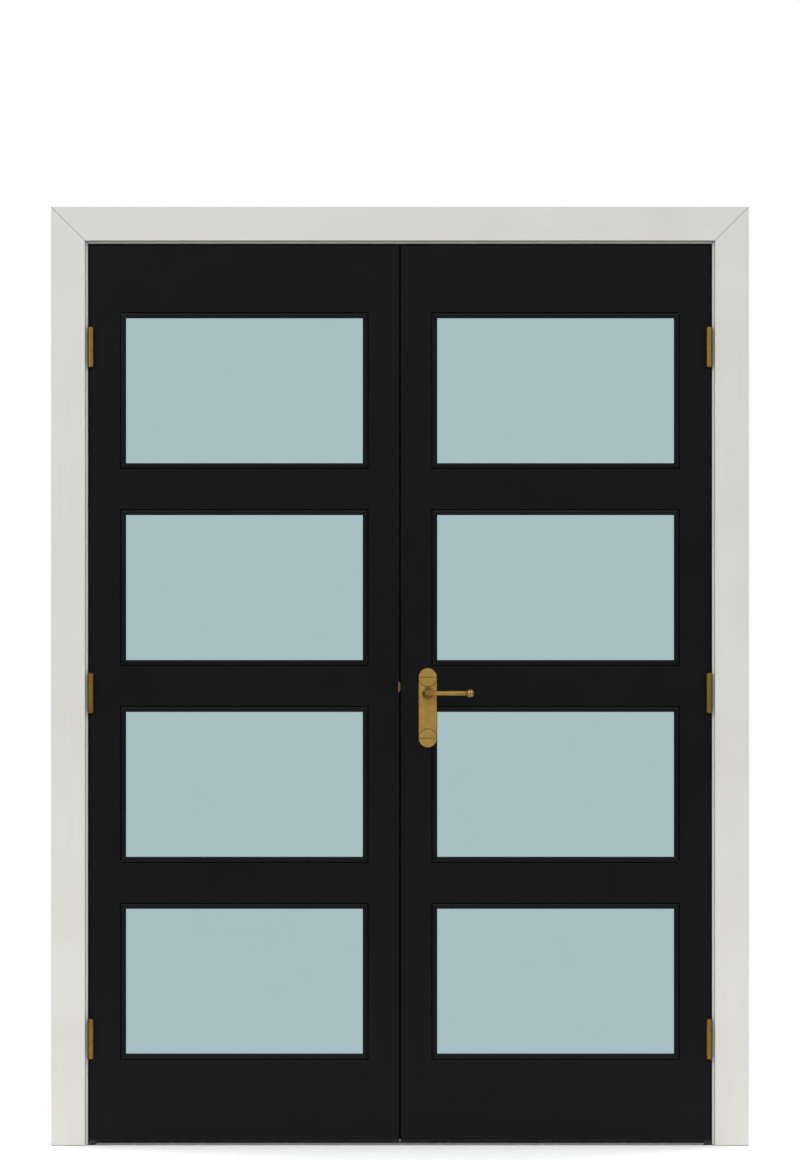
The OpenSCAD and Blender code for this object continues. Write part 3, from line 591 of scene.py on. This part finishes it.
def softened(node, suffix, material, body, arris, shortest=None, flushX=()):
    # a clean copy of a CAD node, with a small rounded arris along its long outward edges, apart
    # from the upright ones at flushX, where two timbers meet and are painted over as one face
    bm = cleanCopy(node)
    shortest = shortest or cleaning["shortestMm"]
    edges = [
        edge for edge in bm.edges
        if len(edge.link_faces) == 2 and edge.calc_length() > shortest * mm
        and edge.calc_face_angle() > math.radians(cleaning["sharpDegrees"])
        and edge.is_convex and not liesAt(edge, flushX)
    ]
    workEdges(bm, edges, arris)
    # where two arrises just meet, they leave faces with no width
    bmesh.ops.dissolve_degenerate(bm, dist=cleaning["weldMm"] * mm, edges=bm.edges)
    return keepFlat(finishPiece(node + suffix, bm, material, body, [node]))


def paintNode(node, material):
    # a CAD node that stays as it is
    mesh = nodes[node].data
    mesh.materials.clear()
    mesh.materials.append(material)


def lathe(bm, start, along, profile, sides=64):
    # turns a profile of (distance along the axis, radius) pairs, in millimetres, round an axis
    along = Vector(along).normalized()
    across = along.orthogonal().normalized()
    up = along.cross(across)
    start = Vector(start)
    rings = []
    for distance, radius in profile:
        centre = start + along * distance * mm
        if radius <= 0:
            rings.append([bm.verts.new(centre)])
            continue
        rings.append([
            bm.verts.new(centre + (across * math.cos(a) + up * math.sin(a)) * radius * mm)
            for a in (2 * math.pi * k / sides for k in range(sides))
        ])
    for low, high in zip(rings, rings[1:]):
        for k in range(sides):
            n = (k + 1) % sides
            corners = [low[k % len(low)], low[n % len(low)], high[n % len(high)], high[k % len(high)]]
            bm.faces.new(list(dict.fromkeys(corners)))


# timber of the frame

frameTimber = {
    "arrisMm": 1.2,           # hand-sanded arris on every painted edge
    "upright": ["left_jamb", "right_jamb", "left_stop", "right_stop", "front_left_architrave",
                "front_right_architrave", "rear_left_architrave", "rear_right_architrave"],
    "level": ["head_lining", "head_stop", "front_head_architrave", "rear_head_architrave"],
}

for node in frameTimber["upright"]:
    softened(node, "_board", framePaintUpright, "frame", frameTimber["arrisMm"])
for node in frameTimber["level"]:
    softened(node, "_board", framePaintLevel, "frame", frameTimber["arrisMm"])
print("frame timber ready")


# timber, beads and glass of the leaves

leafTimber = {
    "arrisMm": 1.0,
    "shortestMm": 30,         # edges shorter than this are cut for the metalwork and stay sharp
    "beadArrisMm": 1.0,       # along the beads only, so that their mitres stay tight
    "beadShortestMm": 40,
    "beadBend": 0.5,          # radians, less than any real edge of a bead
    "facing": 0.9, "edgewise": 0.1,    # a face's share of Y, if it shows or stands edge on
    "quirkMm": 2.2,           # the square groove that frames each ring of beads
}


lights = range(1, 5)          # each leaf has four panes


def makeBeads(side, part):
    # the bead lengths round all four panes, with a quirk where they meet the stiles and rails
    centres = [(Vector(low) + Vector(high)) / 2
               for low, high in (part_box(f"{side}_glass_{light}") for light in lights)]
    node = f"{side}_{part}"
    bm = cleanCopy(node)
    quirks, rounds = [], []
    for edge in bm.edges:
        if edge.calc_length() < leafTimber["beadShortestMm"] * mm:
            continue
        if edge.calc_face_angle() < leafTimber["beadBend"]:
            continue
        middle = (edge.verts[0].co + edge.verts[1].co) / 2
        centre = min(centres, key=lambda c: abs(c.z - middle.z))
        outwards = (middle - centre).normalized()
        # the quirk's edge lies between the face that shows and the one against a stile or a rail
        normals = [face.normal for face in edge.link_faces]
        shown = [n for n in normals if abs(n.y) > leafTimber["facing"] and n.y * outwards.y > 0]
        sideways = [n for n in normals if abs(n.y) < leafTimber["edgewise"]]
        outer = shown and sideways and sideways[0].dot(outwards) > 0
        (quirks if outer else rounds).append(edge)
    workEdges(bm, quirks, leafTimber["quirkMm"], 0)
    workEdges(bm, [edge for edge in rounds if edge.is_valid], leafTimber["beadArrisMm"])
    return keepFlat(finishPiece(node + "_lengths", bm, doorPaintLevel, side + "_leaf",
                                [node]))


# how far from the middle of the doors the rails' shoulders meet the stiles
shoulders = (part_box("right_meeting_stile")[1][0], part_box("right_hinge_stile")[0][0])
for side in ("left", "right"):
    body = side + "_leaf"
    for part in ("hinge_stile", "meeting_stile"):
        softened(f"{side}_{part}", "_board", doorPaintUpright, body,
                 leafTimber["arrisMm"], leafTimber["shortestMm"], flushX=shoulders)
    for part in ("top_rail", "mid_rails", "bottom_rail"):
        softened(f"{side}_{part}", "_board", doorPaintLevel, body,
                 leafTimber["arrisMm"], leafTimber["shortestMm"], flushX=shoulders)
    for part in ("front_beads", "rear_beads"):
        makeBeads(side, part)
    for light in lights:
        paintNode(f"{side}_glass_{light}", glass)
print("leaves ready")


# seals

seals = {
    "tuftMm": 1.5,            # real tufts are closer together, drawn coarser to show
    "tuftLap": 1.3,           # how wide a tuft is against the pitch of its row
    "tipShare": 0.55,         # and how much of that is left at its tip
    "pileY": (-36.8, -33.2), "pileZ": (12, 1989),
    "rowDepth": 1.7,
    "pileRoot": 1.55,         # from the middle of the gap: sunk a little into the leaf's edge
    "pileReach": 1.42, "reachSpread": 0.25, "tipLift": 0.15,
    "footX": (3, 671), "footZ": (8.1, 10.0), "footSpread": 0.2,
    "rubberX": (687.9, 690.4), "rubberY": (-34.4, -30.2), "rubberZ": (9, 1992.4),
    "bulbSteps": 10,
    "waistShare": 0.7, "waistDepth": 0.9, "flangeDepth": 0.5,    # behind the bulb
}


def tuft(bm, base, tip, along, thick):
    # one tapering tuft from its base to its tip; along is the way that the row runs
    side = Vector(tip) - Vector(base)
    depth = side.cross(Vector(along)).normalized()
    corners = []
    for middle, share in ((Vector(base), 1.0), (Vector(tip), seals["tipShare"])):
        for u, v in ((-1, -1), (1, -1), (1, 1), (-1, 1)):
            corners.append(bm.verts.new((
                middle + Vector(along) * thick[0] / 2 * u * share + depth * thick[1] / 2 * v * share
            ) * mm))
    bm.faces.new(corners[3::-1])
    bm.faces.new(corners[4:])
    for k in range(4):
        n = (k + 1) % 4
        bm.faces.new((corners[k], corners[n], corners[4 + n], corners[4 + k]))


def makeMeetingBrush(side, sign, rowY):
    # one row on each leaf's meeting edge, one behind the other, so that no light comes between
    bm = bmesh.new()
    low, high = seals["pileZ"]
    middle = sum(rowY) / 2
    count = round((high - low) / seals["tuftMm"])
    step = (high - low) / count
    for k in range(count):
        z = low + (k + 0.5) * step
        reach = seals["pileReach"] - random.uniform(0, seals["reachSpread"])
        tuft(bm, (sign * seals["pileRoot"], middle, z), (-sign * reach, middle, z + seals["tipLift"]),
             (0, 0, 1), (step * seals["tuftLap"], rowY[1] - rowY[0]))
    return finishPiece(side + "_meeting_brush", bm, brushPile, side + "_leaf", [])


def makeFootBrush(side, sign):
    bm = bmesh.new()
    low, high = seals["footX"]
    middle = sum(seals["pileY"]) / 2
    depth = seals["pileY"][1] - seals["pileY"][0]
    tipZ, rootZ = seals["footZ"]
    spread = seals["footSpread"]
    count = round((high - low) / seals["tuftMm"])
    step = (high - low) / count
    for k in range(count):
        x = sign * (low + (k + 0.5) * step)
        tip = (x + spread, middle + random.uniform(-spread, spread), tipZ + random.uniform(0, spread))
        tuft(bm, (x, middle, rootZ), tip, (1, 0, 0), (step * seals["tuftLap"], depth))
    return finishPiece(side + "_foot_brush", bm, brushPile, side + "_leaf", [])


def makeRubberSeal():
    # one length up each side of the lining and one across its head, behind the leaves' edges
    bm = bmesh.new()
    inner, outer = seals["rubberX"]
    front, rear = seals["rubberY"]
    foot, head = seals["rubberZ"]
    half = (outer - inner) / 2
    # the section: a bulb at the front with a flat flange against the stop, as (across, Y)
    steps = seals["bulbSteps"]
    section = [(half * math.cos(a), front + half + half * math.sin(a))
               for a in (math.pi + math.pi * k / steps for k in range(steps + 1))]
    waist, waistY = half * seals["waistShare"], rear - seals["waistDepth"]
    flangeY = rear - seals["flangeDepth"]
    section += [(waist, waistY), (half, flangeY), (half, rear),
                (-half, rear), (-half, flangeY), (-waist, waistY)]
    corner = outer - half
    path = [(-corner, foot), (-corner, head - half), (corner, head - half), (corner, foot)]
    rings = []
    for (x, z), (u, w) in zip(path, ((-1, 0), (-1, 1), (1, 1), (1, 0))):
        rings.append([bm.verts.new(((x + u * c) * mm, y * mm, (z + w * c) * mm)) for c, y in section])
    for first, second in zip(rings, rings[1:]):
        for k in range(len(section)):
            n = (k + 1) % len(section)
            bm.faces.new((first[k], first[n], second[n], second[k]))
    bm.faces.new(rings[0])
    bm.faces.new(rings[-1])
    return finishPiece("lining_seal", bm, blackRubber, "frame", [])


frontY, rearY = seals["pileY"]
makeMeetingBrush("left", -1, (frontY, frontY + seals["rowDepth"]))
makeMeetingBrush("right", 1, (rearY - seals["rowDepth"], rearY))
makeFootBrush("left", -1)
makeFootBrush("right", 1)
makeRubberSeal()
print("seals ready")


# brass and other metal

brassPieces = {
    "arrisMm": 0.35,
    "frame": ["head_bolt_keep"],
    "left_leaf": ["strike_plate", "flush_bolt_plates"],
    "right_leaf": ["latch_faceplate"],
    "latch": ["latch_bolt"],
}
hingePieces = {
    "arrisMm": 0.45,
    "frame": ["left_frame_hinge_leaves", "right_frame_hinge_leaves"],
    "left_leaf": ["left_door_hinge_leaves"],
    "right_leaf": ["right_door_hinge_leaves"],
}

for body in ("frame", "left_leaf", "right_leaf", "latch"):
    for node in brassPieces[body]:
        softened(node, "_brass", plateBrass, body, brassPieces["arrisMm"])
    for node in hingePieces.get(body, []):
        softened(node, "_brass", hingeBrass, body, hingePieces["arrisMm"])
for node in ("top_flush_bolt", "bottom_flush_bolt"):
    paintNode(node, plateBrass)
for node in ("latch_case", "spindle", "latch_follower", "lever_grub_screws"):
    paintNode(node, steelZinc)


def islands(node):
    # the separate solids of a CAD node, each as the list of its corners
    bm = welded(node)
    seen, found = set(), []
    for first in bm.verts:
        if first in seen:
            continue
        seen.add(first)
        queue, corners = [first], []
        while queue:
            vert = queue.pop()
            corners.append(vert.co.copy())
            for edge in vert.link_edges:
                other = edge.other_vert(vert)
                if other not in seen:
                    seen.add(other)
                    queue.append(other)
        found.append(corners)
    bm.free()
    return found


screwShape = {
    "headR": 3.8, "headDepth": 1.8, "shankR": 2.0, "pointLength": 3.0, "pointR": 0.3,
    "slotWidth": 0.95, "slotDepth": 0.8,
    "rim": 0.15,              # the eased edge round the head
    "lap": 0.01,              # the shank's part of the head reaches this far into its two halves
    "endMm": 0.01,            # corners of the CAD screw this near an end belong to it
    "arcSteps": 14, "sides": 20,
}


def addScrew(bm, corners):
    # a slotted screw in the place of a CAD one, its slot left at whatever angle it stopped
    shape = screwShape
    low = Vector([min(c[i] for c in corners) for i in range(3)])
    high = Vector([max(c[i] for c in corners) for i in range(3)])
    size = high - low
    # the head is as wide both ways, so the axis is the way that differs
    axis = min(range(3), key=lambda i: abs(size[(i + 1) % 3] - size[(i + 2) % 3]))
    middle = (low + high) / 2
    ends = []
    for end in (low, high):
        centre = middle.copy()
        centre[axis] = end[axis]
        wide = max((c - centre).length for c in corners
                   if abs(c[axis] - end[axis]) < shape["endMm"] * mm)
        ends.append((wide, centre))
    ends.sort(key=lambda e: e[0])
    head, point = ends[1][1], ends[0][1]
    along = (point - head).normalized()
    length = (point - head).length / mm
    angle = random.uniform(0, math.pi)
    u = Matrix.Rotation(angle, 3, along) @ along.orthogonal().normalized()
    v = along.cross(u)
    slope = (shape["headR"] - shape["shankR"]) / shape["headDepth"]
    lowR = shape["headR"] - slope * shape["slotDepth"]
    half = shape["slotWidth"] / 2
    steps, rim = shape["arcSteps"], shape["rim"]
    levels = ((0.0, shape["headR"] - rim), (rim, shape["headR"] - rim * slope),
              (shape["slotDepth"], lowR))
    for sign in (-1, 1):
        rings = []
        for distance, radius in levels:
            start = math.asin(half / radius)
            rings.append([
                bm.verts.new(head + (along * distance + u * radius * math.cos(a)
                                     + v * sign * radius * math.sin(a)) * mm)
                for a in (start + (math.pi - 2 * start) * k / steps for k in range(steps + 1))
            ])
        bm.faces.new(rings[0])
        bm.faces.new(rings[-1])
        for first, second in zip(rings, rings[1:]):
            for k in range(steps + 1):
                n = (k + 1) % (steps + 1)
                bm.faces.new((first[k], first[n], second[n], second[k]))
    lathe(bm, head, along, [
        (shape["slotDepth"] - shape["lap"], 0), (shape["slotDepth"] - shape["lap"], lowR),
        (shape["headDepth"], shape["shankR"]), (length - shape["pointLength"], shape["shankR"]),
        (length, shape["pointR"]), (length, 0),
    ], shape["sides"])


def makeScrews(node, material, body):
    bm = bmesh.new()
    for corners in islands(node):
        addScrew(bm, corners)
    return finishPiece(node + "_slotted", bm, material, body, [node])


makeScrews("frame_screws", hingeBrass, "frame")
makeScrews("left_door_screws", hingeBrass, "left_leaf")
makeScrews("right_door_screws", hingeBrass, "right_leaf")

pinShape = {
    # (distance from the middle, radius) of the upper half, out to the button end
    "half": [
        (0, 3.0), (42.98, 3.0), (42.98, 5.3), (43.2, 5.5), (43.9, 5.5), (44.15, 5.25), (44.2, 4.6),
        (44.35, 4.5), (44.6, 4.2), (44.85, 3.2), (44.96, 1.8), (45.0, 0),
    ],
    "sides": 40,
}


def makeHingePins():
    bm = bmesh.new()
    for corners in islands("hinge_pins"):
        middle = Vector([(min(c[i] for c in corners) + max(c[i] for c in corners)) / 2
                         for i in range(3)])
        profile = [(-d, r) for d, r in reversed(pinShape["half"])] + pinShape["half"][1:]
        lathe(bm, middle, (0, 0, 1), profile, pinShape["sides"])
    return finishPiece("hinge_pins_turned", bm, hingeBrass, "frame", ["hinge_pins"])


makeHingePins()

springShape = {
    # millimetres: the first and last point of the coil, its centre line and its wire
    "fromX": 12.55, "toX": 35.45, "fixedX": 36.0, "y": -48.5, "z": 1010.5,
    "coilR": 3.5, "wireR": 0.5, "turns": 7, "stepsPerTurn": 24, "sides": 10,
    "pressed": 0.56,          # its length with the latch drawn in, as a share of its length at rest
}


def makeLatchSpring():
    shape = springShape
    bm = bmesh.new()
    steps = shape["turns"] * shape["stepsPerTurn"]
    rings = []
    for k in range(steps + 1):
        turn = 2 * math.pi * k / shape["stepsPerTurn"]
        x = shape["fromX"] + (shape["toX"] - shape["fromX"]) * k / steps
        ring = []
        for n in range(shape["sides"]):
            a = 2 * math.pi * n / shape["sides"]
            r = shape["coilR"] + shape["wireR"] * math.cos(a)
            ring.append(bm.verts.new((
                (x + shape["wireR"] * math.sin(a)) * mm, (shape["y"] + r * math.cos(turn)) * mm,
                (shape["z"] + r * math.sin(turn)) * mm,
            )))
        rings.append(ring)
    for first, second in zip(rings, rings[1:]):
        for n in range(shape["sides"]):
            m = (n + 1) % shape["sides"]
            bm.faces.new((first[n], first[m], second[m], second[n]))
    bm.faces.new(rings[0])
    bm.faces.new(rings[-1])
    spring = finishPiece("latch_spring_coiled", bm, steelZinc, "right_leaf",
                         ["latch_spring"])
    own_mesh(spring)


makeLatchSpring()

threshold = {
    "arrisMm": 0.5,
    # millimetres: low ribs for grip on the part that is trodden on, behind the leaves
    "halfLength": 668.0, "firstY": -20.0, "pitch": 9.0, "count": 8,
    "top": 8.0, "rise": 0.8, "footWidth": 3.0, "topWidth": 1.6,
    "sunk": 0.4,              # how deep a rib reaches into the strip
    "easedDown": 0.15, "easedIn": 0.25,
}


def makeThresholdRibs():
    shape = threshold
    bm = bmesh.new()
    foot, crown = shape["footWidth"] / 2, shape["topWidth"] / 2
    low, high = shape["top"] - shape["sunk"], shape["top"] + shape["rise"]
    flat, shoulder = crown - shape["easedIn"], high - shape["easedDown"]
    section = [(-foot, low), (-foot, shape["top"]), (-crown, shoulder), (-flat, high),
               (flat, high), (crown, shoulder), (foot, shape["top"]), (foot, low)]
    for k in range(shape["count"]):
        y = shape["firstY"] + shape["pitch"] * k
        ends = [
            [bm.verts.new((x * mm, (y + v) * mm, w * mm)) for v, w in section]
            for x in (-shape["halfLength"], shape["halfLength"])
        ]
        bm.faces.new(ends[0])
        bm.faces.new(ends[1])
        for n in range(len(section)):
            m = (n + 1) % len(section)
            bm.faces.new((ends[0][n], ends[0][m], ends[1][m], ends[1][n]))
    finishPiece("threshold_ribs", bm, aluminium, "frame", [])


softened("threshold_strip", "_extrusion", aluminium, "frame", threshold["arrisMm"])
makeThresholdRibs()
print("metalwork ready")


# levers and backplates

leverShape = {
    "spindleX": 61.5, "spindleZ": 1000.5,   # millimetres, as the backplates' bores
    "faceY": -66.0, "rearFaceY": -31.0,
    # (distance from the leaf's face, radius) of the turned rose and neck
    "rose": [
        (3.1, 0), (3.1, 7.9), (3.3, 7.9), (3.35, 12.1), (3.7, 12.5), (7.2, 12.5), (7.7, 12.35),
        (8.1, 11.9), (8.2, 11.6), (8.1, 11.4), (6.7, 11.2), (6.7, 10.0), (9.0, 9.9), (10.4, 9.8),
        (11.5, 9.5), (12.3, 9.0), (12.7, 8.4), (12.6, 8.1), (11.2, 8.0), (11.2, 6.6), (13.0, 6.5),
        (17.0, 6.2), (21.0, 5.85), (28.0, 5.7), (35.0, 5.9), (39.0, 6.25), (40.2, 6.4), (40.6, 6.5),
        (53.3, 6.5), (53.8, 6.4), (54.2, 6.1), (54.4, 5.6), (54.4, 5.1), (53.5, 5.0), (53.5, 4.2),
        (54.4, 4.1), (54.45, 3.2), (54.5, 0),
    ],
    "barFrom": 48.0,
    # (distance from the spindle, radius) of the bar with its ferrule and collar
    "bar": [
        (2.0, 0), (2.0, 5.2), (8.6, 5.2), (8.9, 4.7), (9.5, 4.7), (9.7, 5.9), (10.1, 6.3),
        (12.2, 6.3), (12.7, 5.9), (12.9, 4.6), (13.8, 4.6), (14.0, 5.0), (18.0, 5.05),
        (40.0, 5.15), (70.0, 5.35), (82.9, 5.4), (83.1, 4.8), (83.8, 4.8), (84.0, 5.6),
        (84.4, 6.0), (85.0, 6.1), (85.6, 6.0), (86.0, 5.6), (86.2, 4.9), (87.05, 4.9),
    ],
    # the ball at the bar's end, with a seam round its middle
    "knobRadius": 9.25, "knobMiddle": 93.75, "knobFrom": 87.3,
    "seamHalf": 0.6, "seamFloorHalf": 0.3, "seamDepth": 0.7,
    "knobSteps": (12, 20),    # before and after the seam
    "sharpDegrees": 28,
}


def makeLever(name, faceY, outward, node):
    shape = leverShape
    x, z = shape["spindleX"] * mm, shape["spindleZ"] * mm
    bm = bmesh.new()
    lathe(bm, (x, faceY * mm, z), (0, outward, 0), shape["rose"])
    radius, middle = shape["knobRadius"], shape["knobMiddle"]
    first = math.asin((shape["knobFrom"] - middle) / radius)
    seam = math.asin(shape["seamHalf"] / radius)
    before, after = shape["knobSteps"]
    near = [first + (-seam - first) * k / before for k in range(before + 1)]
    far = [seam + (math.pi / 2 - seam) * k / after for k in range(after)]
    nearHalf, farHalf = [
        [(middle + radius * math.sin(a), radius * math.cos(a)) for a in angles] for angles in (near, far)
    ]
    floor, half = radius - shape["seamDepth"], shape["seamFloorHalf"]
    knob = nearHalf + [(middle - half, floor), (middle + half, floor)] + farHalf + [(middle + radius, 0)]
    lathe(bm, (x, (faceY + outward * shape["barFrom"]) * mm, z), (1, 0, 0), shape["bar"] + knob)
    return finishPiece(name, bm, leverBrass, "lever", [node], shape["sharpDegrees"])


makeLever("front_lever_turned", leverShape["faceY"], -1, "front_lever")
makeLever("rear_lever_turned", leverShape["rearFaceY"], 1, "rear_lever")

plateShape = {
    "middleZ": 968.0, "halfWidth": 20.0, "bossStep": 67.5,
    "base": 2.0, "pad": 3.0, "bossFloor": 2.9, "boss": 4.0,   # heights above the leaf's face
    "padFrom": 0.5, "floorFrom": 0.4, "bossFrom": 0.6,        # where they start, inside the base
    "padInset": 0.15,
    "groove": 1.7,            # width of the dark ring round each boss
    "line": 1.6,              # width of the line engraved across each boss
    "boltHole": 3.95,
    "arrisMm": 0.3, "floorArrisMm": 0.1,
    "steps": 40, "padSteps": 32, "floorSides": 60, "holeSteps": 20,
    "sharpDegrees": 35,
}


def arc(centreZ, radius, first, last, steps):
    return [(radius * math.cos(math.radians(first + (last - first) * k / steps)),
             centreZ + radius * math.sin(math.radians(first + (last - first) * k / steps)))
            for k in range(steps + 1)]


def cutFrom(radius):
    # the degrees between which a circle lies on one side of the line across a boss
    start = math.degrees(math.asin(plateShape["line"] / 2 / radius))
    return start, 180 - start


def slab(bm, outline, faceY, outward, low, high, arris):
    # draws a flat outline out from the leaf's face, between two heights, and rounds its outer rim
    shape = plateShape
    sides = []
    for height in (low, high):
        sides.append([
            bm.verts.new(((leverShape["spindleX"] + x) * mm, (faceY + outward * height) * mm,
                          (shape["middleZ"] + z) * mm)) for x, z in outline
        ])
    near, far = sides
    bm.faces.new(near)
    bm.faces.new(far)
    for k in range(len(outline)):
        n = (k + 1) % len(outline)
        bm.faces.new((near[k], near[n], far[n], far[k]))
    workEdges(bm, [bm.edges.get((far[k], far[(k + 1) % len(far)])) for k in range(len(far))], arris)


def makeBackplate(name, faceY, outward, node, boltHeads):
    # a plate with a raised pad and two round bosses, each ringed by a groove and crossed by a line
    shape = plateShape
    step, half, arris = shape["bossStep"], shape["halfWidth"], shape["arrisMm"]
    steps, padSteps, floorSides = shape["steps"], shape["padSteps"], shape["floorSides"]
    bm = bmesh.new()
    slab(bm, arc(step, half, 0, 180, steps) + arc(-step, half, 180, 360, steps), faceY, outward,
         0, shape["base"], arris)
    ring = half + shape["groove"]
    bossR = half - shape["padInset"]
    edge = math.degrees(math.acos(bossR / ring))
    pad = arc(step, ring, -edge, -180 + edge, padSteps) + arc(-step, ring, 180 - edge, edge, padSteps)
    slab(bm, pad, faceY, outward, shape["padFrom"], shape["pad"], arris)
    outline = arc(0, bossR, *cutFrom(bossR), steps)
    if boltHeads:
        outline += arc(0, shape["boltHole"], *reversed(cutFrom(shape["boltHole"])), shape["holeSteps"])
    for centre in (step, -step):
        slab(bm, arc(centre, bossR, 0, 360 - 360 / floorSides, floorSides - 1), faceY, outward,
             shape["floorFrom"], shape["bossFloor"], shape["floorArrisMm"])
        for flip in (1, -1):
            slab(bm, [(x * flip, centre + z * flip) for x, z in outline], faceY, outward,
                 shape["bossFrom"], shape["boss"], arris)
    return keepFlat(finishPiece(name, bm, plateBrass, "right_leaf", [node],
                                shape["sharpDegrees"]))


makeBackplate("front_backplate_pressed", leverShape["faceY"], -1, "front_backplate", False)
makeBackplate("rear_backplate_pressed", leverShape["rearFaceY"], 1, "rear_backplate", True)
paintNode("handle_bolts", plateBrass)
print("levers and backplates ready")
